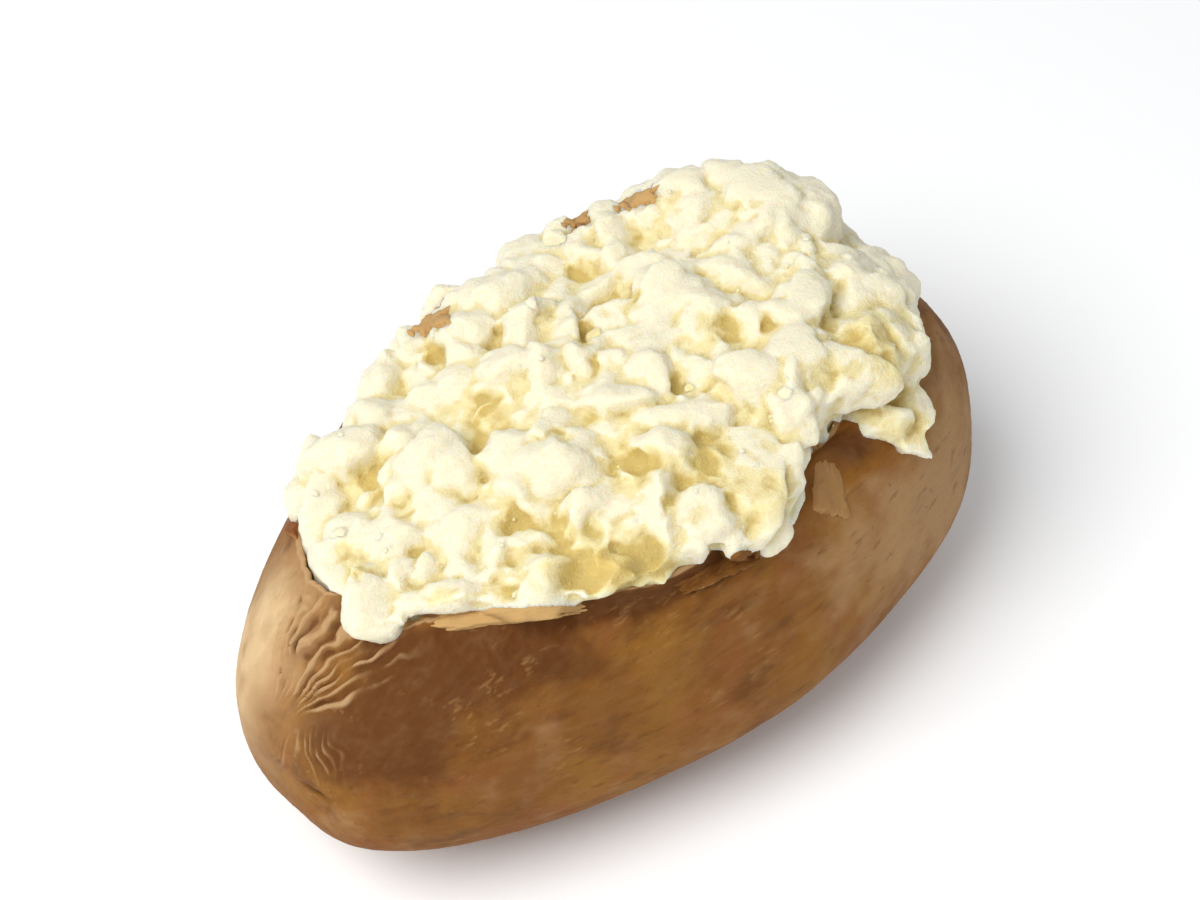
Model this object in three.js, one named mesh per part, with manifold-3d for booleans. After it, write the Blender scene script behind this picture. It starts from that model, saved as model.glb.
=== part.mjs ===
// A large baked potato, split open along its top, with its steamed flesh pushed up out of
// the split in a loose heap. Lengths are in millimetres, +Z is up and the potato lies along X
// on a small flat on its underside. It is built as two closed bodies: the potato in its skin,
// with the open trough, and the heap of fluffed flesh that fills the trough and overhangs it.
import * as THREE from "three";
import { mergeVertices } from "three/addons/utils/BufferGeometryUtils.js";
import Module from "manifold-3d";

const wasm = await Module();
wasm.setup();

// ---- Potato body ----
const HALF_LENGTH = 68.2;
const HALF_WIDTH = 39.3;
const HALF_HEIGHT = 34.2;
const END_POWER = 2.08; // near 2: the ends are plainly rounded
const SECTION_POWER = 2.56; // over 2: the cross-section is a little square
const TAPER = 0.179; // the +X end is thicker than the -X end by this share each way
const BEND = 0.131; // sideways bow of the middle, as a share of the half width
const SWELL_SPREAD = 0.35;
const SWELLS = [
  { toward: new THREE.Vector3(0, -1, -0.2), share: 0.08 },
  { toward: new THREE.Vector3(0.7, -0.7, -0.2), share: 0.034 },
  { toward: new THREE.Vector3(-1, 0, 0), share: -0.053 },
  { toward: new THREE.Vector3(-0.55, 0.75, 0.45), share: -0.035 },
];

// ---- Underside ----
const SAG_LEVEL = 0.86 * HALF_HEIGHT; // depth under the centre at which the base flattens
const SAG_SOFTNESS = 5;
const REST_CUT = 0.2; // cut off the lowest skin, which leaves the small flat

// ---- Split, its lips and the trough under it (angles in degrees from +Z) ----
const TEAR_ANGLE = 51;
const TEAR_ALONG = 8; // the tear comes further down at the +X end
const TEAR_ACROSS = 3.5; // and further down on the far side, +Y
const TEAR_RIPPLES = [
  { waves: 3, size: 1.6, phase: 0.7 },
  { waves: 7, size: 1.3, phase: 2.1 },
  { waves: 12, size: 0.9, phase: 4.0 },
];
const LIP_FLARE = 0.02; // how far the lips are pushed out, as a share of the radius
const LIP_FLARE_SIDE = 0.02; // more on +Y, less on -Y
const LIP_FLARE_SPREAD = 11;
const LIP_RADIUS = 0.9;
const TROUGH_FLOOR = new THREE.Vector3(2, 3, 25);

// ---- Heap of flesh ----
const GAP = 0.4; // clearance between the heap and the potato
const HEAP_CENTRE = new THREE.Vector2(3, -1);
const HEAP_HALF_RUN = 46;
const HEAP_CREST = 61.5;
const HEAP_CLIMB = 6; // how much the crest climbs in half its run towards +X
const HEAP_LOW_END = { drop: 3.5, power: 2 }; // how it falls off at the -X end
const HEAP_HIGH_END = { drop: 5, power: 6 }; // and at the +X end
const HEAP_EDGE_ANGLE = 115; // where the rim of the heap lies on the sphere it is grown from
const HEAP_RIM_LIFT = { middle: -0.9, along: -1.6, across: -1.8 }; // how far its rim stands off the skin
const HEAP_BELLY_POWER = { middle: 1.05, along: -0.1, across: 0.45 }; // small: its side stands steeply
const HEAP_RISE_POWER = 0.85;
const HEAP_ROOT_LEVEL = 14; // its root is sunk to here and is then cut to fit the trough
const HEAP_ROOT_POWER = 0.5;
const OVERHANG = { middle: -2.2, along: -2.2, across: -2.6 }; // how far it comes out over the lip, in degrees
const DROOPS = [ // where flesh hangs further down over the skin, all in degrees
  { azimuth: -170, drop: 4, spread: 9 }, // a round lump at the -X end
  { azimuth: -83, drop: 7, spread: 9 }, // a broad lobe past the middle
  { azimuth: -58, drop: 12, spread: 6 }, // a slab near the +X end
];
const LUMP_COUNT = 110;
const LUMP_RADIUS = { least: 5, spread: 5 };
const LUMP_HEIGHT = { least: 2, spread: 3.2 };
const LUMP_FAR_SIDE = { from: 6, to: 26, loss: 0.6 }; // the lumps are lower towards +Y, by this share
const LUMP_FADE = 0.12; // the lumps fade out round the heap's rim
const LUMP_TWIST = 0.5; // how unevenly they are spread round the heap, in radians
const LUMP_SEEDS = { level: 0.3, azimuth: 0.6, radius: 0.1, height: 0.8 };
const MOUNDS = [ // where the flesh stands up higher, on the sphere that the heap is grown from
  { azimuth: 16, polar: 66, radius: 11, height: 9 },
  { azimuth: 36, polar: 70, radius: 10, height: 7 },
];

// ---- Fineness of the faceted bodies, and the small steps that slopes are measured over ----
const BODY_AZIMUTH_STEPS = 72;
const BODY_RINGS = 19;
const LIP_RINGS = 3;
const TROUGH_RINGS = 6;
const HEAP_DETAIL = 14;
const SLOPE_STEP = 0.01; // in radians

const TURN = 2 * Math.PI;
const rad = THREE.MathUtils.degToRad;
const deg = THREE.MathUtils.radToDeg;

/** A number from 0 to 1 that looks random but is the same for the same seed. */
function scatter(seed) {
  const wave = Math.sin(seed * 12.9898) * 43758.5453;
  return wave - Math.floor(wave);
}

/** The direction on the unit sphere at an azimuth about Z and a polar angle from +Z. */
function direction(azimuth, polar) {
  return new THREE.Vector3(
    Math.sin(polar) * Math.cos(azimuth),
    Math.sin(polar) * Math.sin(azimuth),
    Math.cos(polar),
  );
}

/** The polar angle, in degrees, at which the skin is torn at an azimuth. */
function tearAngle(azimuth) {
  const ripple = TEAR_RIPPLES.reduce(
    (sum, { waves, size, phase }) => sum + size * Math.sin(waves * azimuth + phase), 0);
  return TEAR_ANGLE + TEAR_ALONG * Math.cos(azimuth) + TEAR_ACROSS * Math.sin(azimuth) + ripple;
}

/** Height above the flat, softened where the underside sags onto the surface. */
function sagged(height) {
  const soften = (level) => (level + Math.hypot(level, SAG_SOFTNESS)) / 2;
  const lowest = soften(SAG_LEVEL - HALF_HEIGHT);
  return Math.max(0, soften(height + SAG_LEVEL) - lowest - REST_CUT);
}

/** A point on the skin, from its direction on the unit sphere. */
function skinPoint(dir) {
  const section = Math.pow(Math.abs(dir.y), SECTION_POWER) + Math.pow(Math.abs(dir.z), SECTION_POWER);
  const along = Math.pow(Math.abs(dir.x), END_POWER);
  let reach = Math.pow(along + Math.pow(section, END_POWER / SECTION_POWER), -1 / END_POWER);
  for (const { toward, share } of SWELLS) {
    const away = dir.distanceTo(toward.clone().normalize());
    reach *= 1 + share * Math.exp(-Math.pow(away / SWELL_SPREAD, 2));
  }
  const azimuth = Math.atan2(dir.y, dir.x);
  const fromTear = (deg(Math.acos(dir.z)) - tearAngle(azimuth)) / LIP_FLARE_SPREAD;
  const flare = LIP_FLARE + LIP_FLARE_SIDE * Math.sin(azimuth);
  reach *= 1 + flare * Math.exp(-fromTear * fromTear);
  const along01 = reach * dir.x;
  const thickness = 1 + TAPER * along01;
  return new THREE.Vector3(
    HALF_LENGTH * along01,
    HALF_WIDTH * (reach * dir.y * thickness + BEND * (1 - along01 * along01)),
    sagged(HALF_HEIGHT * reach * dir.z * thickness),
  );
}

/** The outward normal of the skin, from points a little to each side. */
function skinNormal(azimuth, polar) {
  const ahead = skinPoint(direction(azimuth + SLOPE_STEP, polar));
  const behind = skinPoint(direction(azimuth - SLOPE_STEP, polar));
  const below = skinPoint(direction(azimuth, polar + SLOPE_STEP));
  const above = skinPoint(direction(azimuth, polar - SLOPE_STEP));
  return below.sub(above).cross(ahead.sub(behind)).normalize();
}

/** A closed mesh from rings of points, capped by a single point at each end. */
function closedRings(start, rings, end) {
  const count = rings[0].length;
  const points = [start, ...rings.flat(), end];
  const triangles = [];
  for (let i = 0; i < count; i += 1) {
    const next = (i + 1) % count;
    triangles.push(0, 1 + next, 1 + i);
    for (let r = 0; r + 1 < rings.length; r += 1) {
      const low = 1 + r * count;
      const high = low + count;
      triangles.push(low + i, low + next, high + i);
      triangles.push(low + next, high + next, high + i);
    }
    const last = 1 + (rings.length - 1) * count;
    triangles.push(last + i, last + next, points.length - 1);
  }
  const geometry = new THREE.BufferGeometry().setFromPoints(points);
  geometry.setIndex(triangles);
  return geometry;
}

/** The potato in its skin: up the outside, over the torn lip and down into the trough. */
function potatoGeometry() {
  const azimuths = Array.from({ length: BODY_AZIMUTH_STEPS }, (_, i) => (i / BODY_AZIMUTH_STEPS) * TURN);
  const lips = azimuths.map((azimuth) => {
    const polar = rad(tearAngle(azimuth));
    const edge = skinPoint(direction(azimuth, polar));
    const normal = skinNormal(azimuth, polar);
    const below = skinPoint(direction(azimuth, polar + SLOPE_STEP));
    return { edge, normal, rise: edge.clone().sub(below).normalize() };
  });
  const rings = [];
  for (let r = 1; r <= BODY_RINGS; r += 1) {
    const share = r / BODY_RINGS;
    rings.push(azimuths.map((azimuth) => {
      const polar = Math.PI + share * (rad(tearAngle(azimuth)) - Math.PI);
      return skinPoint(direction(azimuth, polar));
    }));
  }
  for (let r = 1; r <= LIP_RINGS; r += 1) {
    const turn = (r / LIP_RINGS) * Math.PI;
    rings.push(lips.map(({ edge, normal, rise }) => edge.clone()
      .addScaledVector(rise, LIP_RADIUS * Math.sin(turn))
      .addScaledVector(normal, LIP_RADIUS * (Math.cos(turn) - 1))));
  }
  const inner = rings[rings.length - 1];
  for (let r = 1; r < TROUGH_RINGS; r += 1) {
    const turn = (r / TROUGH_RINGS) * (Math.PI / 2);
    rings.push(inner.map((rim) => new THREE.Vector3(
      TROUGH_FLOOR.x + (rim.x - TROUGH_FLOOR.x) * Math.cos(turn),
      TROUGH_FLOOR.y + (rim.y - TROUGH_FLOOR.y) * Math.cos(turn),
      rim.z + (TROUGH_FLOOR.z - rim.z) * Math.sin(turn),
    )));
  }
  return closedRings(skinPoint(direction(0, Math.PI)), rings, TROUGH_FLOOR.clone());
}

/** The same body, swollen outwards by a clearance. */
function swollen(geometry, clearance) {
  const copy = geometry.clone();
  copy.computeVertexNormals();
  const { position, normal } = copy.attributes;
  const point = new THREE.Vector3();
  const away = new THREE.Vector3();
  for (let i = 0; i < position.count; i += 1) {
    point.fromBufferAttribute(position, i);
    away.fromBufferAttribute(normal, i);
    point.addScaledVector(away, clearance);
    position.setXYZ(i, point.x, point.y, point.z);
  }
  copy.deleteAttribute("normal");
  return copy;
}

/** A value that goes smoothly round the heap: its middle, and its change towards +X and +Y. */
function roundTheHeap({ middle, along, across }, azimuth) {
  return middle + along * Math.cos(azimuth) + across * Math.sin(azimuth);
}

/** Where the rim of the heap lies over the skin at an azimuth. */
function heapRim(azimuth) {
  const droop = DROOPS.reduce((sum, { azimuth: middle, drop, spread }) => {
    const away = (THREE.MathUtils.euclideanModulo(deg(azimuth) - middle + 180, 360) - 180) / spread;
    return sum + drop * Math.exp(-away * away);
  }, 0);
  const polar = rad(tearAngle(azimuth) + roundTheHeap(OVERHANG, azimuth) + droop);
  const rim = skinPoint(direction(azimuth, polar));
  return rim.addScaledVector(skinNormal(azimuth, polar), roundTheHeap(HEAP_RIM_LIFT, azimuth));
}

/** A point of the smooth heap, before its lumps, from a direction on the unit sphere. */
function heapPoint(dir) {
  const azimuth = Math.atan2(dir.y, dir.x);
  const polar = deg(Math.acos(THREE.MathUtils.clamp(dir.z, -1, 1)));
  const rim = heapRim(azimuth);
  const above = polar < HEAP_EDGE_ANGLE;
  const share = above
    ? 1 - polar / HEAP_EDGE_ANGLE
    : (polar - HEAP_EDGE_ANGLE) / (180 - HEAP_EDGE_ANGLE);
  const turn = share * (Math.PI / 2);
  const power = above ? roundTheHeap(HEAP_BELLY_POWER, azimuth) : HEAP_ROOT_POWER;
  const inward = Math.pow(Math.cos(turn), power);
  const x = HEAP_CENTRE.x + (rim.x - HEAP_CENTRE.x) * inward;
  const y = HEAP_CENTRE.y + (rim.y - HEAP_CENTRE.y) * inward;
  if (!above) {
    return new THREE.Vector3(x, y, rim.z + (HEAP_ROOT_LEVEL - rim.z) * Math.sin(turn));
  }
  const run = (x - HEAP_CENTRE.x) / HEAP_HALF_RUN;
  const end = run < 0 ? HEAP_LOW_END : HEAP_HIGH_END;
  const crest = HEAP_CREST + HEAP_CLIMB * run - end.drop * Math.pow(Math.abs(run), end.power);
  return new THREE.Vector3(x, y, rim.z + (crest - rim.z) * Math.pow(Math.sin(turn), HEAP_RISE_POWER));
}

/** The lumps of flesh: where each is centred on the heap, how wide it is and how far it stands out. */
function heapLumps() {
  const goldenAngle = Math.PI * (3 - Math.sqrt(5));
  const lowest = Math.cos(rad(HEAP_EDGE_ANGLE));
  const mounds = MOUNDS.map(({ azimuth, polar, radius, height }) => (
    { centre: heapPoint(direction(rad(azimuth), rad(polar))), radius, height }));
  const lumps = Array.from({ length: LUMP_COUNT }, (_, i) => {
    const level = 1 - (1 - lowest) * ((i + scatter(i + LUMP_SEEDS.level)) / LUMP_COUNT);
    const azimuth = i * goldenAngle + LUMP_TWIST * scatter(i + LUMP_SEEDS.azimuth);
    const centre = heapPoint(direction(azimuth, Math.acos(level)));
    const farSide = THREE.MathUtils.smoothstep(centre.y, LUMP_FAR_SIDE.from, LUMP_FAR_SIDE.to);
    const height = LUMP_HEIGHT.least + LUMP_HEIGHT.spread * scatter(i + LUMP_SEEDS.height);
    return {
      centre,
      radius: LUMP_RADIUS.least + LUMP_RADIUS.spread * scatter(i + LUMP_SEEDS.radius),
      height: height * (1 - LUMP_FAR_SIDE.loss * farSide),
    };
  });
  return [...lumps, ...mounds];
}

/** How far the heap's surface stands out at a point: the highest of the round lumps there. */
function lumpRelief(point, lumps) {
  return lumps.reduce((relief, { centre, radius, height }) => {
    const near = 1 - centre.distanceToSquared(point) / (radius * radius);
    return near > 0 ? Math.max(relief, height * Math.sqrt(near)) : relief;
  }, 0);
}

/** How much of the lumps shows at a level on the unit sphere: none under the heap's rim. */
function lumpShare(level) {
  const rimLevel = Math.cos(rad(HEAP_EDGE_ANGLE));
  return THREE.MathUtils.smoothstep(level, rimLevel - LUMP_FADE, rimLevel + LUMP_FADE);
}

/** The heap with its lumps, still with a solid root that reaches down into the potato. */
function heapGeometry() {
  const sphere = new THREE.IcosahedronGeometry(1, HEAP_DETAIL);
  sphere.deleteAttribute("normal");
  sphere.deleteAttribute("uv");
  const geometry = mergeVertices(sphere);
  const { position } = geometry.attributes;
  const dir = new THREE.Vector3();
  const shares = [];
  for (let i = 0; i < position.count; i += 1) {
    dir.fromBufferAttribute(position, i).normalize();
    shares.push(lumpShare(dir.z));
    position.setXYZ(i, ...heapPoint(dir).toArray());
  }
  geometry.computeVertexNormals();
  const lumps = heapLumps();
  const point = new THREE.Vector3();
  const away = new THREE.Vector3();
  for (let i = 0; i < position.count; i += 1) {
    point.fromBufferAttribute(position, i);
    away.fromBufferAttribute(geometry.attributes.normal, i);
    point.addScaledVector(away, shares[i] * lumpRelief(point, lumps));
    position.setXYZ(i, point.x, point.y, point.z);
  }
  geometry.deleteAttribute("normal");
  return geometry;
}

/** A manifold solid from a closed geometry. */
function solidFrom(geometry) {
  const { position } = geometry.attributes;
  return new wasm.Manifold(new wasm.Mesh({
    numProp: 3,
    vertProperties: new Float32Array(position.array),
    triVerts: new Uint32Array(geometry.index.array),
  }));
}

/** A geometry from a manifold solid. */
function geometryFrom(solid) {
  const mesh = solid.getMesh();
  const geometry = new THREE.BufferGeometry();
  geometry.setAttribute("position", new THREE.BufferAttribute(mesh.vertProperties, 3));
  geometry.setIndex(new THREE.BufferAttribute(mesh.triVerts, 1));
  return geometry;
}

/** The heap cut to fit the trough and the skin, with the clearance all round. */
function fittedHeap(potato) {
  return geometryFrom(solidFrom(heapGeometry()).subtract(solidFrom(swollen(potato, GAP))));
}

/** Move both bodies so that the whole stands at the middle of its own outline. */
function centreTogether(geometries) {
  const box = new THREE.Box3();
  for (const geometry of geometries) {
    geometry.computeBoundingBox();
    box.union(geometry.boundingBox);
  }
  const middle = box.getCenter(new THREE.Vector3());
  for (const geometry of geometries) {
    geometry.translate(-middle.x, -middle.y, -box.min.z);
  }
}

/** A named mesh with its own finish. */
function piece(name, geometry, finish) {
  geometry.computeVertexNormals();
  const mesh = new THREE.Mesh(geometry, new THREE.MeshStandardMaterial({ ...finish, metalness: 0 }));
  mesh.name = name;
  return mesh;
}

const potato = potatoGeometry();
const heap = fittedHeap(potato);
centreTogether([potato, heap]);

const bakedPotato = new THREE.Group();
bakedPotato.add(piece("jacket_potato", potato, { color: 0x8a5c33, roughness: 0.6 }));
bakedPotato.add(piece("fluffed_flesh", heap, { color: 0xf0e2ae, roughness: 0.8 }));

export default bakedPotato;
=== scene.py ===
"""A large baked potato, torn open along its top, with its steamed flesh pushed up out of the split.

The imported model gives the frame: a skin and trough, and a heap of flesh. This script makes the looks
round it. The skin becomes a wrinkled, ragged-lipped shell, the heap becomes broken lumps of flesh with
loose chunks and crumbs on them, and torn flaps of skin lie at the edge of the split. Everything is in
metres, with +Z up and the potato along X.
"""

import sys

import itertools
import logging
import math
from collections.abc import Callable, Sequence
from dataclasses import dataclass, field
from enum import Enum

import bpy
import numpy as np
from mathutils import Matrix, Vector
from mathutils.bvhtree import BVHTree


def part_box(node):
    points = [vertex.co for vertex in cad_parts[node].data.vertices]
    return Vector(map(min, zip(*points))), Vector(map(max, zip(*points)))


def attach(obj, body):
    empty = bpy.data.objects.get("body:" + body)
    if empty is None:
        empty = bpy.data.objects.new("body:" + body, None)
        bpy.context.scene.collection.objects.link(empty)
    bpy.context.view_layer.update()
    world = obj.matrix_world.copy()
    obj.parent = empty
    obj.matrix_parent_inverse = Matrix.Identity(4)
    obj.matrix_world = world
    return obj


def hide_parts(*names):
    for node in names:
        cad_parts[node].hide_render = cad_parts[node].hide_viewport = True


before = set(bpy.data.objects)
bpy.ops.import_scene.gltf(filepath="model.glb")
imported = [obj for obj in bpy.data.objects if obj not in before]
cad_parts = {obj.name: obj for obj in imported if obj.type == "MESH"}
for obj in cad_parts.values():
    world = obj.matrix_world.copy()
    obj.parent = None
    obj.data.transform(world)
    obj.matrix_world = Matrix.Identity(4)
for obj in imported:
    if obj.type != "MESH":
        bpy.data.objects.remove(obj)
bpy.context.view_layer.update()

Array = np.ndarray
Object = bpy.types.Object
Socket = bpy.types.NodeSocket
Pair = tuple[float, float]
Triple = tuple[float, float, float]
Four = tuple[float, float, float, float]

MM = 0.001
TINY = 1e-9
MERGE_GAP = 0.001 * MM
GRAIN_SEED = 7
LIP_STEP = 3.0
HEADROOM = 0.1 * MM
BODY = "root"
LOG = logging.getLogger("baked_potato")


class Slot(Enum):
    """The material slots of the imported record."""

    SKIN = "skin"
    FLESH = "flesh"


class Node(Enum):
    """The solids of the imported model."""

    JACKET = "jacket_potato"
    HEAP = "fluffed_flesh"


# ---- Numbers on arrays of points ----


def ease(values: Array, low: float, high: float) -> Array:
    """Go smoothly from 0 at low to 1 at high.

    Args:
        values: The numbers to map.
        low: Where the result is 0.
        high: Where the result is 1. It may be under low.

    Returns:
        The mapped numbers, from 0 to 1.
    """
    share = np.clip((values - low) / (high - low), 0.0, 1.0)
    return share * share * (3.0 - 2.0 * share)


def bell(values: Array, middle: float, spread: float) -> Array:
    """Return 1 at the middle and fall off on both sides of it within about the spread."""
    return np.exp(-(((values - middle) / spread) ** 2))


def bell_at(points: Array, middle: Sequence[float], spread: Sequence[float]) -> Array:
    """Return 1 at a middle point and fall off round it, by its own spread along each axis."""
    return np.exp(-(((points - np.array(middle)) / np.array(spread)) ** 2).sum(axis=1))


def beyond(azimuth: Array, middle: float) -> Array:
    """Return how many degrees each azimuth, in radians, is past a middle in degrees."""
    return (np.degrees(azimuth) - middle + 180.0) % 360.0 - 180.0


def around(azimuth: Array, middle: float, spread: float) -> Array:
    """Return 1 at a middle azimuth and fall off on both sides of it within a spread, both in degrees."""
    return np.exp(-((beyond(azimuth, middle) / spread) ** 2))


def random_turns(draw: np.random.Generator, count: int) -> Array:
    """Return random rotations.

    Args:
        draw: The source of random numbers.
        count: How many.

    Returns:
        An array of 3 by 3 matrices.
    """
    quarter = draw.normal(size=(count, 4))
    w, x, y, z = (quarter / np.linalg.norm(quarter, axis=1, keepdims=True)).T
    matrix = [
        [1 - 2 * (y * y + z * z), 2 * (x * y - w * z), 2 * (x * z + w * y)],
        [2 * (x * y + w * z), 1 - 2 * (x * x + z * z), 2 * (y * z - w * x)],
        [2 * (x * z - w * y), 2 * (y * z + w * x), 1 - 2 * (x * x + y * y)],
    ]
    return np.array(matrix).transpose(2, 0, 1)


def rows(kind: type, table: Sequence[Sequence[float]]) -> tuple:
    """Return one object of a kind for each row of a table."""
    return tuple(kind(*row) for row in table)


class Grain:
    """Seeded noise on arrays of points: soft hills and sharp folds."""

    TABLE = 256
    HILL_GAIN = 1.6
    OCTAVE_STEP = 17.3

    def __init__(self, seed: int) -> None:
        """Draw the tables that the noise is read from."""
        draw = np.random.default_rng(seed)
        self.order = draw.permutation(self.TABLE)
        slopes = draw.normal(size=(self.TABLE, 3))
        self.slopes = slopes / np.linalg.norm(slopes, axis=1, keepdims=True)

    def entry(self, cell: Array) -> Array:
        """Return the table entry of each lattice cell."""
        x, y, z = (cell % self.TABLE).T
        return self.order[(self.order[(self.order[x] + y) % self.TABLE] + z) % self.TABLE]

    def hills(self, points: Array) -> Array:
        """Return soft noise from about -1 to 1, with hills about one unit across."""
        cell = np.floor(points).astype(np.int64)
        part = points - cell
        fade = part**3 * (part * (part * 6 - 15) + 10)
        total = np.zeros(len(points))
        for corner in itertools.product((0, 1), repeat=3):
            offset = np.array(corner)
            slope = self.slopes[self.entry(cell + offset)]
            weight = np.where(offset == 1, fade, 1 - fade).prod(axis=1)
            total += weight * (slope * (part - offset)).sum(axis=1)
        return total * self.HILL_GAIN

    def rough(self, points: Array, octaves: int, gain: float = 0.5) -> Array:
        """Return hills with finer and lower hills on them.

        Args:
            points: Where to read it.
            octaves: How many sizes of hill, each half as wide as the last.
            gain: How high each size is against the last.

        Returns:
            Noise from about -1 to 1.
        """
        total = sum(gain**k * self.hills(points * 2**k + k * self.OCTAVE_STEP) for k in range(octaves))
        return total / sum(gain**k for k in range(octaves))

    def folds(self, points: Array, octaves: int, gain: float = 0.5) -> Array:
        """Return sharp crests with broad hollows between them, from about 0 to 1."""
        total = sum(
            gain**k * (1 - np.abs(self.hills(points * 2**k + k * self.OCTAVE_STEP))) for k in range(octaves)
        )
        return total / sum(gain**k for k in range(octaves))

    def drift(self, points: Array) -> Array:
        """Return a soft random push for each point, from about -1 to 1 along each axis."""
        return np.stack([self.hills(points + axis * self.OCTAVE_STEP) for axis in range(3)], axis=1)


@dataclass(frozen=True)
class Rough:
    """Roughness made of hills.

    It holds its height, the width of its widest hills, how many sizes of hill it has, each half as wide as
    the last, and how high each size is against the last.
    """

    height: float
    size: float | Triple
    octaves: int = 2
    gain: float = 0.5

    def at(self, grain: Grain, points: Array) -> Array:
        """Return the roughness at each point, from about minus its height to its height."""
        return self.height * grain.rough(points / np.array(self.size), self.octaves, self.gain)


# ---- Meshes ----


def activate(obj: Object) -> None:
    """Select one object alone and make it the active one."""
    bpy.ops.object.select_all(action="DESELECT")
    obj.select_set(True)
    bpy.context.view_layer.objects.active = obj


def apply_modifier(obj: Object, kind: str, **settings: object) -> None:
    """Put a modifier on an object and apply it.

    Args:
        obj: The object.
        kind: The modifier's type.
        **settings: The modifier's own settings.
    """
    activate(obj)
    modifier = obj.modifiers.new(kind.lower(), kind)
    for name, value in settings.items():
        setattr(modifier, name, value)
    bpy.ops.object.modifier_apply(modifier=modifier.name)


def edit_all(obj: Object, step: Callable[..., object], **settings: object) -> None:
    """Run one editing step, with its own settings, on the whole mesh of an object."""
    activate(obj)
    bpy.ops.object.mode_set(mode="EDIT")
    bpy.ops.mesh.select_all(action="SELECT")
    step(**settings)
    bpy.ops.object.mode_set(mode="OBJECT")


def added(step: Callable[..., object], **settings: object) -> Object:
    """Add a primitive, with its own settings and nothing else selected, and return it."""
    bpy.ops.object.select_all(action="DESELECT")
    step(**settings)
    return bpy.context.active_object


def discard(*objects: Object) -> None:
    """Remove helper objects and their meshes."""
    for obj in objects:
        mesh = obj.data
        bpy.data.objects.remove(obj)
        bpy.data.meshes.remove(mesh)


def points_of(obj: Object) -> Array:
    """Return the places of an object's vertices."""
    flat = np.empty(len(obj.data.vertices) * 3)
    obj.data.vertices.foreach_get("co", flat)
    return flat.reshape(-1, 3)


def place_points(obj: Object, points: Array) -> None:
    """Move an object's vertices."""
    obj.data.vertices.foreach_set("co", points.ravel())
    obj.data.update()


def triangles_of(obj: Object) -> int:
    """Return how many triangles an object's faces make."""
    return sum(len(face.vertices) - 2 for face in obj.data.polygons)


def normals_of(obj: Object) -> Array:
    """Return the vertex normals of an object."""
    flat = np.empty(len(obj.data.vertices) * 3)
    obj.data.vertex_normals.foreach_get("vector", flat)
    return flat.reshape(-1, 3)


def note(obj: Object, name: str, values: Array) -> None:
    """Store a number on each vertex, which the finishes read by name."""
    layer = obj.data.attributes.new(name, "FLOAT", "POINT")
    layer.data.foreach_set("value", values.astype(np.float32))


def mesh_from(name: str, points: Array, triangles: Array) -> Object:
    """Return a new smooth-shaded object made of triangles.

    Args:
        name: Its name.
        points: One row for each vertex.
        triangles: Three vertex numbers for each triangle, in order round its outer side.
    """
    mesh = bpy.data.meshes.new(name)
    mesh.vertices.add(len(points))
    mesh.vertices.foreach_set("co", points.ravel())
    mesh.loops.add(triangles.size)
    mesh.loops.foreach_set("vertex_index", triangles.ravel().astype(np.int32))
    mesh.polygons.add(len(triangles))
    mesh.polygons.foreach_set("loop_start", np.arange(0, triangles.size, 3, dtype=np.int32))
    mesh.polygons.foreach_set("use_smooth", np.ones(len(triangles), dtype=bool))
    mesh.update(calc_edges=True)
    obj = bpy.data.objects.new(name, mesh)
    bpy.context.scene.collection.objects.link(obj)
    return obj


def merged_copy(node: Node, name: str) -> Object:
    """Return a free copy of a solid of the frame, with its loose triangles merged."""
    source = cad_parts[node.value]
    copy = bpy.data.objects.new(name, source.data.copy())
    bpy.context.scene.collection.objects.link(copy)
    edit_all(copy, bpy.ops.mesh.remove_doubles, threshold=MERGE_GAP)
    return copy


def joined(name: str, parts: Sequence[Object]) -> Object:
    """Join objects into the first of them and return it under a new name."""
    activate(parts[0])
    for part in parts:
        part.select_set(True)
    bpy.ops.object.join()
    parts[0].name = name
    parts[0].data.name = name
    return parts[0]


class Surface:
    """The surface of some objects, to measure distances to it and find places on it."""

    def __init__(self, *objects: Object) -> None:
        """Build the search tree over the objects' faces."""
        points, faces = [], []
        for obj in objects:
            first = len(points)
            points += [vertex.co for vertex in obj.data.vertices]
            faces += [tuple(first + corner for corner in face.vertices) for face in obj.data.polygons]
        self.tree = BVHTree.FromPolygons(points, faces)

    def gap(self, points: Array) -> Array:
        """Return the distance from each point to the surface."""
        return np.array([self.tree.find_nearest(Vector(point))[3] for point in points])

    def struck(self, start: Array, way: Array) -> tuple[Array, Array] | None:
        """Return where a ray first meets the surface, and the normal there, or None where it misses."""
        place, normal, _, _ = self.tree.ray_cast(Vector(start), Vector(way))
        return None if place is None else (np.array(place), np.array(normal))


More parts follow.
